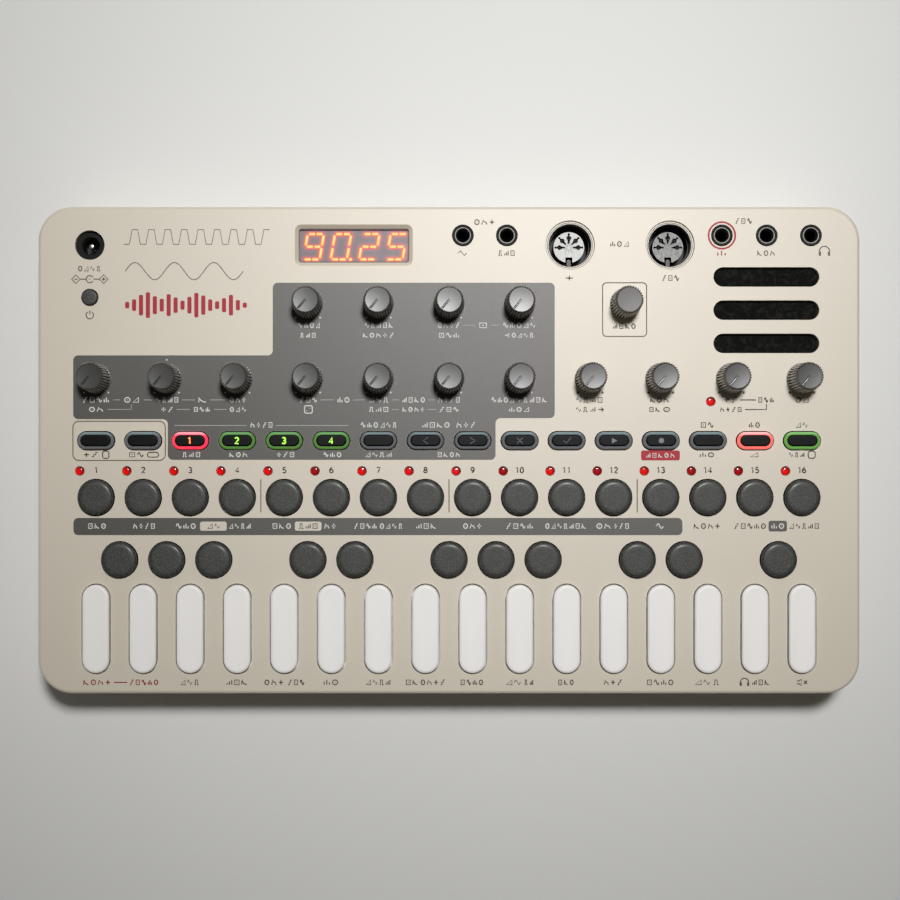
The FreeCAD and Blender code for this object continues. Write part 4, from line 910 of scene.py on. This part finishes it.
# Under the upper row of knobs, and above and below the function buttons.
upper_words, upper_notes = upper_row - 7.9, upper_row - 11.5
words("pale", upper_words, (-54.6, -46.6), (-30.5, -20.2), (-4.1, 3.9), (10.7, 13.9), (19.5, 31.2))
dashes("dim", upper_words, (5.1, 9.3), (15.2, 18.1))
words("pale", upper_notes, (-53.9, -48.1), (-31.2, -19.8), (-3.8, 3.7), (22.6, 30.65), height=1.9)
sign("pale", "arrow", 21.1, upper_notes)
words("grey", upper_row - 8.2, (59.2, 67.5))
above, below = function_row + 5.7, function_row - 5.05
dashes("dim", above - 0.2, (-99.3, -73.2), (-62.5, -36.4))
words("pale", above, (-71.8, -63.7), (-31.9, -25.6), (-24.9, -18.8), (-9.7, 0.3), (2.6, 9.6))
words("grey", above, (90.9, 95.6), (108.3, 112.4), (125.3, 129.6))
words("pale", below, (-96.45, -89.8), (-79.4, -72.8), (-62.4, -55.8), (-45.4, -38.8), (-30.4, -20.6),
      (-4.2, 4.0), height=1.9)
words("grey", below, (-132.3, -126.7), (-115.7, -110.3), (90.5, 95.9), (108.7, 111.8), (122.75, 128.5),
      height=1.9)
for icon in (block(-124.05, below, 2.3, 2.6, 0.8), block(-106.95, below, 4.0, 1.7, 0.84),
             block(131.05, below, 2.5, 2.6, 0.8)):
    lines["grey"].append(once_round(icon))

# On the band under the round buttons, and along the panel's front edge.
words("pale", band_y, (-130.5, -123.9), (-114.2, -106.2), (-98.7, -91.4), (-79.6, -71.6), (-63.9, -57.0),
      (-45.1, -40.7), (-34.4, -26.1), (-25.1, -16.7), (-11.9, -4.6), (5.0, 11.9), (20.5, 30.3), (34.7, 49.5),
      (53.1, 58.4), (59.4, 65.1), (74.7, 77.6), (116.4, 121.2))
words("grey", band_y, (-87.4, -82.8), (-54.4, -47.4), (88.4, 98.0), (102.9, 114.6), (122.9, 133.8))
bottom_y = -83.9
words("red", bottom_y, (-132.2, -122.2), (-115.5, -105.0))
dashes("red", bottom_y, (-121.1, -116.3))
words("grey", bottom_y, (-97.1, -90.3), (-80.4, -72.9), (-66.8, -59.7), (-58.3, -52.3), (-45.4, -39.9),
      (-30.0, -21.1), (-15.7, -11.3), (-10.35, -1.4), (4.1, 12.4), (20.4, 26.0), (27.1, 30.5), (39.4, 45.1),
      (55.9, 62.6), (71.4, 81.2), (88.8, 94.3), (95.4, 97.7), (109.5, 115.7))
headphones("grey", 106.75, bottom_y, 1.0)
horn = [(125.8, -0.5), (126.5, -0.5), (127.3, -1.2), (127.3, 1.2), (126.5, 0.5), (125.8, 0.5)]
lines["grey"] += [moved(path, 0.0, bottom_y)
                  for path in (horn, [(128.2, -0.6), (129.4, 0.6)], [(128.2, 0.6), (129.4, -0.6)])]
lines["frame"] += [[(x, -22.5), (x, -10.5)] for x in (-68.0, 0.0, 68.0)]

# Beside the sockets along the panel's far edge.
words("soft", 82.4, (9.0, 16.6))
words("soft", 82.8, (103.3, 109.4))
words("soft", 74.5, (58.2, 65.0))
words("soft", 71.2, (3.2, 6.5), (17.7, 23.8), (111.3, 117.8))
words("soft", 62.2, (41.9, 45.1), (76.9, 83.1))
words("red", 71.2, (96.8, 100.1))
headphones("soft", 135.65, 71.8, 1.25)

# Round the power inlet: the polarity sign, a ring between a minus and a plus in diamonds, and the power sign.
power_x, polarity_y, power_y = -129.8, 61.8, 48.8
words("soft", 65.6, (-134.1, -125.8))
diamond = once_round([(1.55, 0.0), (0.0, 1.55), (-1.55, 0.0), (0.0, -1.55)])
polarity = [[(5.0, -0.6), (5.0, 0.6)], arc(0, 0, 1.3, 1.3, 30, 300), [(-0.2, 0.0), (0.2, 0.0)]]
for side in (-1, 1):
    polarity += [moved(path, side * 5.0, 0.0) for path in (diamond, [(-0.6, 0.0), (0.6, 0.0)])]
    polarity.append([(side * 1.3, 0.0), (side * 3.4, 0.0)])
lines["soft"] += [moved(path, power_x, polarity_y) for path in polarity]
power_sign = [[(0.0, 0.3), (0.0, 1.7)], arc(0, 0, 1.35, 1.35, 125, 290)]
lines["soft"] += [moved(path, power_x, power_y) for path in power_sign]

# Frames round the shift buttons and the encoder, and a trapezoid wave and a sine line where names were.
for frame_edge in (rounded_path([(-135.9, 10.45), (-135.9, -3.7), (-102.5, -3.7), (-102.5, 10.45)], 2.2),
                   rounded_path([(55.5, 60.5), (55.5, 41.1), (71.4, 41.1), (71.4, 60.5)], 1.4)):
    lines["frame"].append(once_round(frame_edge))
trapezoids = [(-117.5 + 5.95 * turn + shift, height) for turn in range(9)
              for shift, height in ((0.0, 74.4), (2.0, 74.4), (3.0, 79.7), (5.0, 79.7))]
lines["thin"] += [trapezoids, [(-117.0 + step * 0.44, 64.7 + 3.1 * math.sin(step / 97 * 6 * math.pi))
                               for step in range(98)]]


def pressed(paths, width, high, material, low=ink_low):
    """Prints lines of one width, from under a skin up to a height."""
    mesh = bpy.data.meshes.new("lines")
    corners, edges = [], []
    for path in paths:
        ring = path[0] == path[-1] and len(path) > 3
        first = len(corners)
        points = path[:-1] if ring else path
        corners += [(x * mm, y * mm, (low + high) / 2 * mm) for x, y in points]
        edges += [(first + step, first + step + 1) for step in range(len(points) - 1)]
        if ring:
            edges.append((len(corners) - 1, first))
    mesh.from_pydata(corners, edges, [])
    return pen.grow(mesh, Width=width * mm, Depth=(high - low) * mm, Material=material)


# The strokes of each figure, in half heights from its middle.
figures = {
    "0": [arc(0, 0, 0.58, 1, 90, 360)],
    "1": [[(-0.4, 0.62), (0.1, 1.0), (0.1, -1.0)]],
    "2": [arc(0, 0.45, 0.55, 0.55, 160, -205, 10) + [(-0.6, -1.0), (0.62, -1.0)]],
    "3": [arc(-0.05, 0.49, 0.52, 0.51, 145, -235, 10) + arc(-0.05, -0.5, 0.6, 0.5, 90, -240, 10)],
    "4": [[(0.28, -1.0), (0.28, 1.0), (-0.68, -0.45), (0.62, -0.45)]],
    "5": [[(0.5, 1.0), (-0.42, 1.0), (-0.5, 0.08)] + arc(-0.05, -0.38, 0.6, 0.62, 125, -270, 12)],
    "6": [arc(0.55, -0.4, 1.14, 1.4, 100, 80, 8), arc(0, -0.4, 0.58, 0.6, 180, 360)],
    "7": [[(-0.6, 1.0), (0.6, 1.0), (-0.2, -1.0)]],
    "8": [arc(0, 0.5, 0.47, 0.5, 90, 360), arc(0, -0.48, 0.58, 0.52, 90, 360)],
    "9": [arc(-0.55, 0.4, 1.14, 1.4, -80, 80, 8), arc(0, 0.4, 0.58, 0.6, 0, 360)],
}


def number(text, x, y, height):
    """The strokes of a plain number with its middle at a place; height is that of their middle lines."""
    half, spacing = height / 2, 1.68
    middles = [x + (place - (len(text) - 1) / 2) * spacing * half for place in range(len(text))]
    return [[(middle + across * half, y + up * half) for across, up in path]
            for middle, figure in zip(middles, text) for path in figures[figure]]


figure_y = -7.2
step_figures = [path for column in range(16)
                for path in number(str(column + 1), column_x(column), figure_y, 1.95)]


def scale_dots(x, y, centred=False):
    """The end marks of a knob's turn, and one at the top for a centred knob."""
    reach = 6.75
    turns = [math.radians(turn) for turn in (-131, -49, 90)[:3 if centred else 2]]
    return [(x + reach * math.cos(turn), y + reach * math.sin(turn)) for turn in turns]


def printed_dots(ink, places, radius=0.3):
    """Small round marks of one ink."""
    return repeated(turned([(radius, ink_low), (radius, mark_top)], inks[ink], steps=4), places)


def printed(kind, width, ink=None):
    """The lines of one kind, printed in an ink of the same name or another."""
    return pressed(lines[kind], width, mark_top, inks[ink or kind])


pale_dots = [dot for knob in dark_knobs for dot in scale_dots(*knob, centred=knob == dark_knobs[1])]
grey_dots = [dot for index in range(7, 11) for dot in scale_dots(column_x(1.5 * index), knob_row)]
fit("print_pale", joined(printed("pale", 0.42), printed("dim", 0.28), printed_dots("pale", pale_dots)),
    "case", "case_cream")
fit("print_grey", joined(printed("grey", 0.38), printed("soft", 0.38), printed("frame", 0.36),
                         printed("thin", 0.3, "soft"), pressed(step_figures, 0.46, mark_top, inks["grey"]),
                         printed_dots("grey", grey_dots, 0.45)), "case", "knob_grey")
line_in = places_of("line_in_jack")[0]
red_ring = flat_piece([block(*line_in, width, width, width / 2) for width in (10.3, 9.0)], ink_low, mark_top,
                      inks["label"])
label_x, label_y = 76.4, function_row - 5.3
red_label = flat_piece([block(label_x, label_y, 14.0, 3.6, 0.7)], ink_low, area_top, inks["label"])
meter_left, meter_y, meter_pitch, meter_height = -116.3, 52.4, 2.5, 9.3
meter_levels = (0.25, 0.45, 0.8, 1.0, 0.7, 0.5, 0.85, 0.6, 0.35, 0.65, 0.95, 0.75, 0.45, 0.3, 0.55, 0.8, 0.4,
                0.2)
meter = [flat_piece([block(meter_left + meter_pitch * index, meter_y, 1.5, meter_height * level, 0.5)],
                    ink_low, mark_top, inks["label"]) for index, level in enumerate(meter_levels)]
fit("print_red", joined(printed("red", 0.38), red_ring, red_label, *meter), "case", "light_red")
lines["pale"].clear()
words("pale", label_y, (71.2, 81.6), height=1.9)
fit("print_on_red", printed("pale", 0.34), "case", "case_cream")

# White keys: sixteen long moulded caps, satin white with a rounded edge, each with a flange that
# stops it under the panel and a stem that presses its switch.
key_white = finish("key_white", paint(0.975, 0.97, 0.955), 0.40, grain=0.4, relief=0.006, drift=0.01,
                   cloud=20.0)

# Levels say how far in from a key's edge its surface is, and at what height. The flange stands 1 mm out.
flange_top, flange_low = panel_top - 2.8, panel_top - 3.8
flange_levels = [(-1.0, flange_low), (-1.0, flange_top), (0.0, flange_top), (0.0, panel_top - 0.2)]


def pill_levels(span_x, span_y, levels, steps=10):
    """Rings of a pill or a disc, each drawn in by a distance at a height."""
    return [outline(span_x - 2 * inset, span_y - 2 * inset, min(span_x, span_y) / 2 - inset, z, steps)
            for inset, z in levels]


def inset_shoulder(top, rounding, steps=6):
    """The rounded edge of a key, as levels."""
    return [(-edge, z) for edge, z in shoulder(0.0, top, rounding, steps)]


def key_stem(low, material, marks=None):
    """The round stem under a key, from its switch up into its flange."""
    return turned([(2.0, low), (2.0, flange_low + 0.2)], material, marks, steps=8)


for column in range(16):
    node = f"white_key_{column + 1:02d}"
    key_low, key_high = extent(node)
    hollow = [(1.4, key_high.z), (2.1, key_high.z - 0.04)]
    levels = flange_levels + inset_shoulder(key_high.z, 0.9) + hollow
    key = joined(stacked(pill_levels(9.7, 32.0, levels), key_white), key_stem(key_low.z, key_white))
    whole = repeated(key, [(column_x(column), row_y(node))])
    fit(f"white_cap_{column + 1:02d}", whole, node, "key_white", node)

# Round keys and step buttons: turned-looking discs of grained dark grey plastic with a soft edge. The
# black keys ride in two groups and the step buttons in four.
key_grey = finish("key_grey", paint(0.18, 0.182, 0.168), 0.5, grain=0.42, relief=0.06, drift=0.12,
                  cloud=3.0, fleck=paint(0.35, 0.355, 0.335), Specular_IOR_Level=0.35, Coat_Weight=0.12,
                  Coat_Roughness=0.2)
# Where a key's mark rises it is painted darker: painted shade on its side and stem below the panel.
tint(key_grey, paint(0.10, 0.095, 0.085))


def key_side_shade(x, y, z):
    """Painted shade on a round key: its face and shoulder are plain, and its side, down in the panel's hole, is
    painted darker.
    """
    return 1.0 if z < panel_top + 0.3 else 0.0


round_edge = ((0.0, 1.0), (0.05, 0.66), (0.15, 0.46), (0.3, 0.32), (0.55, 0.21), (0.9, 0.115), (1.3, 0.04),
              (1.8, 0.005), (2.4, 0.0), (4.0, 0.0), (6.2, 0.0))
groups = {f"step_buttons_{group + 1}": [4 * group + column for column in range(4)] for group in range(4)}
groups["black_keys_low"] = [0.5, 1.5, 2.5, 4.5, 5.5]
groups["black_keys_high"] = [7.5, 8.5, 9.5, 11.5, 12.5, 14.5]
for node, columns in groups.items():
    key_low, key_high = extent(node)
    levels = flange_levels + [(inset, key_high.z - drop) for inset, drop in round_edge]
    key = joined(stacked(pill_levels(12.8, 12.8, levels, 14), key_grey, key_side_shade),
                 key_stem(key_low.z, key_grey, [1.0, 1.0]))
    places = [(column_x(column), row_y(node)) for column in columns]
    fit(node + "_caps", repeated(key, places), node, "button_grey", node)

# Power button: a small round cap of the same grained plastic as the round keys, moulded in one with its
# flange and stem, which stands on the switch of the power board.
power_low, power_high = extent("power_button")
power_levels = flange_levels + inset_shoulder(power_high.z, 0.5) + [(2.7, power_high.z)]
# The power key's marks are painted shade, darkest on its side and fading up over its shoulder.
power_shade_marks = [1.0] * 5 + [0.8, 0.6, 0.4, 0.2, 0.1, 0.0, 0.0]
power_key = joined(stacked(pill_levels(5.9, 5.9, power_levels), key_grey, power_shade_marks),
                   key_stem(power_low.z, key_grey, [1.0, 1.0]))
power_cap = repeated(power_key, [centre_of("power_button")])
fit("power_cap", power_cap, "power_button", "button_grey", "power_button")

# Function buttons: a translucent rim that carries light from below, on a black body with a flange, round
# a black cap with a sign moulded into its face. Five groups press together; six of the rims are lit.

# Each kind of rim has its own colour, the colour of its painted highlight along the far edge, and a strength of
# glow.
rim_colours = {
    "grey": ((0.46, 0.475, 0.49), (0.55, 0.63, 0.65), 0.0),
    "red": ((1.0, 0.24, 0.34), (1.0, 0.60, 0.65), 0.62),
    "green": ((0.38, 0.58, 0.28), (0.47, 0.69, 0.44), 0.18),
    "salmon": ((1.0, 0.44, 0.40), (1.0, 0.68, 0.68), 0.55),
    "lime": ((0.42, 0.67, 0.31), (0.52, 0.76, 0.46), 0.22),
}
rim_of = {2: "red", 3: "green", 4: "green", 5: "green", 14: "salmon", 15: "lime"}
rim_finishes = {}
for name, (plain, highlight_colour, glow_strength) in rim_colours.items():
    rim_finishes[name] = finish(f"rim_{name}", paint(*plain), 0.3, grain=0.5, relief=0.006, Coat_Weight=0.3,
                                Emission_Color=paint(*plain), Emission_Strength=glow_strength)
    # The far edge is painted lighter in colour and in glow: a painted highlight.
    tint(rim_finishes[name], paint(*highlight_colour))
    tint(rim_finishes[name], paint(*highlight_colour), "Emission Color")
cap_black = finish("cap_black", paint(0.05, 0.052, 0.056), 0.4, grain=0.6, relief=0.002,
                   Specular_IOR_Level=0.08)
sign_grey = finish("sign_grey", paint(0.44, 0.45, 0.47), 0.5, relief=0.0)
figure_colours = {"amber": (1.0, 0.72, 0.32), "red": (1.0, 0.2, 0.12), "lime": (0.74, 1.0, 0.36),
                  "green": (0.25, 0.55, 0.12)}
figure_lights = {name: finish(f"figure_{name}", paint(*colour), 0.5, relief=0.0,
                              Emission_Color=paint(*colour), Emission_Strength=0.9)
                 for name, colour in figure_colours.items()}
function_groups = {"shift_buttons": (0, 1), "track_buttons": (2, 3, 4, 5), "octave_buttons": (6, 7, 8),
                   "transport_buttons": (9, 10, 11, 12), "pattern_buttons": (13, 14, 15)}
button_low, button_high = extent("track_buttons")
cap_top, rim_top, rim_low = button_high.z, button_high.z - 0.6, panel_top + 0.15
rim_x, rim_y = 13.1, 6.3
sink = stacked(pill_levels(rim_x, rim_y, [(-1.0, flange_low), (-1.0, flange_top), (0.0, flange_top),
                                          (0.0, rim_low)]), cap_black)


def rim_painted_highlight(x, y, z):
    """The painted highlight along a rim's far edge, where the lamp would catch it."""
    return max(0.0, min(1.0, (y - 1.7) / 0.9))


def rim_height(share):
    """The height of a rim's top, from its outer edge at 0 to its inner edge at 1."""
    rise = 0.75 * math.sin(min(1.0, share * 1.6) * math.pi / 2)
    return rim_top - 0.75 + rise - 0.25 * max(0.0, share - 0.6) / 0.4


rim_width = 1.05
rim_top_levels = [(rim_width * share, rim_height(share))
                  for share in (0.0, 0.06, 0.16, 0.3, 0.45, 0.6, 0.75, 0.9, 1.0)]
rim_levels = [(0.0, rim_low)] + rim_top_levels + [(rim_width, rim_low)]
cap_levels = [(0.0, rim_low - 0.1)] + inset_shoulder(cap_top, 0.4, 4) + [(0.6, cap_top), (1.2, cap_top)]
cap = stacked(pill_levels(10.8, 3.9, cap_levels), cap_black)
button_body = joined(sink, key_stem(button_low.z, cap_black))
for node, columns in function_groups.items():
    for column in columns:
        rim_mesh = stacked(pill_levels(rim_x, rim_y, rim_levels), rim_finishes[rim_of.get(column, "grey")],
                           rim_painted_highlight, loop=True)
        place = [(column_x(column), function_row)]
        extra = [node] if column == columns[0] else []
        fit(f"rim_{column + 1:02d}", joined(repeated(rim_mesh, place), repeated(button_body, place)), node,
            "function_black", *extra)
    places = [(column_x(column), function_row) for column in columns]
    fit(node.replace("buttons", "faces"), repeated(cap, places), node, "function_black")
sign_low, sign_high = cap_top - 0.02, cap_top + 0.03
lit = []
for column in function_groups["track_buttons"]:
    paths = number(str(column - 1), column_x(column), function_row, 2.15)
    bright, edging = ("amber", "red") if rim_of[column] == "red" else ("lime", "green")
    lit += [pressed(paths, 0.78, sign_high, figure_lights[edging], sign_low),
            pressed(paths, 0.34, cap_top + 0.05, figure_lights[bright], sign_low)]
fit("track_figures", joined(*lit), "track_buttons", "function_black")


def at_button(column, points):
    """Points about the middle of a function button."""
    return moved(points, column_x(column), function_row)


angles = [at_button(column, [(-side * 0.85, 1.1), (side * 0.85, 0.0), (-side * 0.85, -1.1)])
          for column, side in ((7, -1), (8, 1))]
fit("octave_signs", pressed(angles, 0.3, sign_high, sign_grey, sign_low), "octave_buttons", "function_black")
cross_and_tick = [at_button(9, [(-1.0, -1.0), (1.0, 1.0)]), at_button(9, [(-1.0, 1.0), (1.0, -1.0)]),
                  at_button(10, [(-1.3, 0.0), (-0.3, -1.0), (1.4, 1.1)])]
play = flat_piece([at_button(11, [(-0.8, -1.0), (1.1, 0.0), (-0.8, 1.0)])], sign_low, sign_high, sign_grey)
record_dot = flat_piece([block(column_x(12), function_row, 1.9, 1.9, 0.95)], sign_low, sign_high, sign_grey)
transport_signs = joined(pressed(cross_and_tick, 0.32, sign_high, sign_grey, sign_low), play, record_dot)
fit("transport_signs", transport_signs, "transport_buttons", "function_black")

# Knobs: moulded satin grey caps, grooved round the side for grip, with a skirt, a shallow dish on top and
# an engraved pointer. Each is pushed on to the split shaft of its rotary control.
knob_grey = finish("knob_grey", paint(0.70, 0.69, 0.66), 0.31, grain=0.3, relief=0.006, drift=0.14, cloud=3.0)
# The base colour is that of the painted-lit side flats; the mark darkens towards near black, to the knob's own
# dark grey on its top and to painted shade in its grooves and pointer.
tint(knob_grey, paint(0.0, 0.01, 0.015))
face_mark = 0.917
shaft_steel = finish("shaft_steel", paint(0.62, 0.62, 0.60), 0.3, grain=0.5, relief=0.006, Metallic=1.0)
cap_low_z, cap_high_z, ribs = panel_top + 0.6, round(extent("knob_cutoff")[1].z, 3), 32
dish_radius = 4.26


def dish_height(radius):
    """The floor of the dish in a knob's top, a little lower in the middle."""
    return cap_high_z - 0.39 + 0.09 * (radius / dish_radius) ** 2


ribbing = Rule("ribbed_grip", Ribs="Float", Depth="Float")
spot = ribbing.add("GeometryNodeInputPosition")[0]
split = ribbing.add("ShaderNodeSeparateXYZ", {0: spot})
angle = ribbing.add("ShaderNodeMath", {0: split["Y"], 1: split["X"]}, operation="ARCTAN2")[0]
phase = ribbing.add("ShaderNodeMath", {0: angle, 1: ribbing.given["Ribs"]}, operation="MULTIPLY")[0]
swing = ribbing.add("ShaderNodeMath", {0: phase}, operation="COSINE")[0]
groove = ribbing.add("ShaderNodeMath", {0: swing, 1: 4.0, 2: 0.3}, operation="MULTIPLY_ADD",
                     use_clamp=True)[0]
ribbed_part = ribbing.add("GeometryNodeInputNamedAttribute", {"Name": "ribbed"}, data_type="FLOAT")[0]
share = ribbing.add("ShaderNodeMath", {0: groove, 1: ribbed_part}, operation="MULTIPLY")[0]
sunk = ribbing.add("ShaderNodeMath", {0: share, 1: ribbing.given["Depth"]}, operation="MULTIPLY")[0]
inward = ribbing.add("ShaderNodeMath", {0: 0.0, 1: sunk}, operation="SUBTRACT")[0]
flat_way = ribbing.add("ShaderNodeCombineXYZ", {"X": split["X"], "Y": split["Y"]})[0]
outward = ribbing.add("ShaderNodeVectorMath", {0: flat_way}, operation="NORMALIZE")[0]
shift = ribbing.add("ShaderNodeVectorMath", {0: outward, "Scale": inward}, operation="SCALE")[0]
# The grooves are painted dark, as painted shade, by raising the mark where they cut in.
old_mark = ribbing.add("GeometryNodeInputNamedAttribute", {"Name": "mark"}, data_type="FLOAT")[0]
mark_with_groove_shade = ribbing.add("ShaderNodeMath", {0: old_mark, 1: share}, operation="MAXIMUM")[0]
marked = ribbing.add("GeometryNodeStoreNamedAttribute", {
    "Geometry": ribbing.given["Geometry"], "Name": "mark", "Value": mark_with_groove_shade}, data_type="FLOAT")[0]
ribbing.close(ribbing.add("GeometryNodeSetPosition", {"Geometry": marked, "Offset": shift})[0])

# Each ring of the cap: its radius, its height, how deep the grooves cut in there, and how dark it is painted. The
# top has the knob's own dark grey; the side flats are painted light, for the light that the panel throws on them,
# and the skirt and the chamfer round the top are painted lighter too, the chamfer as a painted highlight.
knob_profile = [(0.4, cap_low_z, 0.0, 0.8), (5.4, cap_low_z, 0.0, 0.8), (5.55, cap_low_z + 0.15, 0.0, 0.7),
                (5.55, cap_low_z + 0.75, 0.0, 0.6), (5.45, cap_low_z + 0.9, 0.0, 0.8)]
knob_profile += [(5.42 - 0.37 * step / 4, cap_low_z + 1.0 + 12.2 * step / 4, 1.0, 0.0) for step in range(5)]
knob_profile += [(radius, cap_high_z - drop, depth, mark) for radius, drop, depth, mark in (
    (5.0, 0.8, 0.9, 0.3), (4.88, 0.4, 0.7, 0.7), (4.68, 0.12, 0.3, 0.85), (4.48, 0.0, 0.0, 0.78),
    (4.41, 0.02, 0.0, 0.7), (4.34, 0.2, 0.0, face_mark))]
knob_profile += [(radius, dish_height(radius), 0.0, face_mark)
                 for radius in (dish_radius, 3.5, 2.7, 1.9, 1.1, 0.4)]
smooth_cap = turned([entry[:2] for entry in knob_profile], knob_grey, [entry[3] for entry in knob_profile],
                    steps=90, sharp=50.0)
rib_depths = {(round(radius, 2), round(z, 2)): depth for radius, z, depth, _ in knob_profile}
ribbed = smooth_cap.attributes.new("ribbed", "FLOAT", "POINT")
for vertex, value in zip(smooth_cap.vertices, ribbed.data):
    radius = math.hypot(vertex.co.x, vertex.co.y) / mm
    value.value = rib_depths.get((round(radius, 2), round(vertex.co.z / mm, 2)), 0.0)
ribbed_cap = ribbing.grow(smooth_cap, Ribs=float(ribs), Depth=0.6 * mm, Material=knob_grey)
ribbed_cap.set_sharp_from_angle(angle=math.radians(25))


pointer_reach, pointer_turn = 4.2, math.radians(-40)


def engraved(mesh, reach, turn):
    """Cuts the pointer, a groove whose walls are painted dark as painted shade, from the middle of a knob's top
    out to its rim.
    """
    floor_z = cap_high_z - 0.6
    cutter = stacked([outline(width, reach, width * 0.3, floor_z + rise, 2) for width, rise in (
        (0.40, 0.0), (0.50, 0.02), (0.85, 0.3), (0.95, 0.5), (0.95, 1.5))], mesh.materials[0])
    cutter.transform(Matrix.Rotation(turn, 4, "Z") @ Matrix.Translation((0.0, (-reach / 2 + 0.1) * mm, 0.0)))
    result = cut_away(mesh, cutter)
    result.set_sharp_from_angle(angle=math.radians(25))
    # The groove's walls are painted dark: painted shade.
    for vertex, value in zip(result.vertices, result.attributes["mark"].data):
        radius, level = math.hypot(vertex.co.x, vertex.co.y) / mm, vertex.co.z / mm
        if level > floor_z - 0.1 and radius < dish_radius + 0.04:
            value.value = 1.0 if floor_z + 0.01 < level < dish_height(radius) - 0.03 else face_mark
    return result


pointed_cap = engraved(ribbed_cap.copy(), pointer_reach, pointer_turn)
plain_cap = ribbed_cap.copy()
# The encoder's cap carries the same marks: its side flats painted light and its grooves painted shade, over its
# own darker grey top.
plain_cap.materials[0] = tint(finish("encoder_grey", paint(0.76, 0.745, 0.71), 0.42, grain=0.3, relief=0.006,
                                     drift=0.06, cloud=4.0), paint(0.02, 0.02, 0.02))
for entry in frame["joints"]:
    if entry["type"] != "hinge":
        continue
    node = entry["child"]
    shaft = turned([(3.0, extent(node)[0].z), (3.0, cap_low_z + 1.0)], shaft_steel, steps=8)
    dial = joined(plain_cap if node == "knob_value" else pointed_cap, shaft)
    dial.transform(Matrix.Translation((*entry["pos_m"][:2], 0.0)))
    fit(node.replace("knob", "dial"), dial, node, "knob_grey", node)

# Studio: a plain pale table, a soft lamp high behind the panel whose grid keeps its light towards the far
# right corner, a low strip lamp at the left and one at the far side, and a camera straight above the panel.
table_half, table_z = 3.0, -0.0003
floor = bpy.data.meshes.new("floor")
floor_corners = [(x * table_half, y * table_half, table_z) for x, y in ((-1, -1), (1, -1), (1, 1), (-1, 1))]
floor.from_pydata(floor_corners, [], [(0, 1, 2, 3)])
floor.materials.append(finish("floor_paint", paint(0.90, 0.90, 0.89), 0.8, grain=2.0, relief=0.02, drift=0.01,
                              cloud=300.0))
placed("floor", floor)


def lamp(name, place, aim, energy, size_x, size_y, spread=180.0):
    """A soft white area lamp."""
    light = bpy.data.lights.new(name, "AREA")
    light.shape = "RECTANGLE"
    light.size, light.size_y = size_x, size_y
    light.energy = energy
    light.spread = math.radians(spread)
    item = placed(name, light)
    item.location = place
    item.rotation_euler = (Vector(aim) - Vector(place)).to_track_quat("-Z", "Y").to_euler()


lamp("key_lamp", (0.14, 0.46, 1.75), (0.035, 0.10, 0.03), 1.12, 0.23, 0.23, 36.0)
lamp("left_strip", (-0.80, 0.0, 0.11), (0.0, 0.0, 0.03), 0.6, 0.8, 0.06)
lamp("far_strip", (0.0, 0.75, 0.11), (0.0, 0.0, 0.03), 1.0, 1.0, 0.06)
world = bpy.data.worlds.new("studio")
world.use_nodes = True
ambient = world.node_tree.nodes["Background"].inputs
ambient["Color"].default_value = (1.0, 0.91, 0.78, 1.0)
ambient["Strength"].default_value = 0.045
bpy.context.scene.world = world
camera = bpy.data.cameras.new("camera")
camera.lens = 74.83
camera.sensor_width = 36.0
camera.shift_x = 0.0217
camera.shift_y = 0.0463
camera.clip_start = 0.01
camera_item = placed("camera", camera)
camera_item.location = (-0.0067, -0.0150, 0.709)
bpy.context.scene.camera = camera_item
bpy.context.scene.view_settings.view_transform = "Standard"
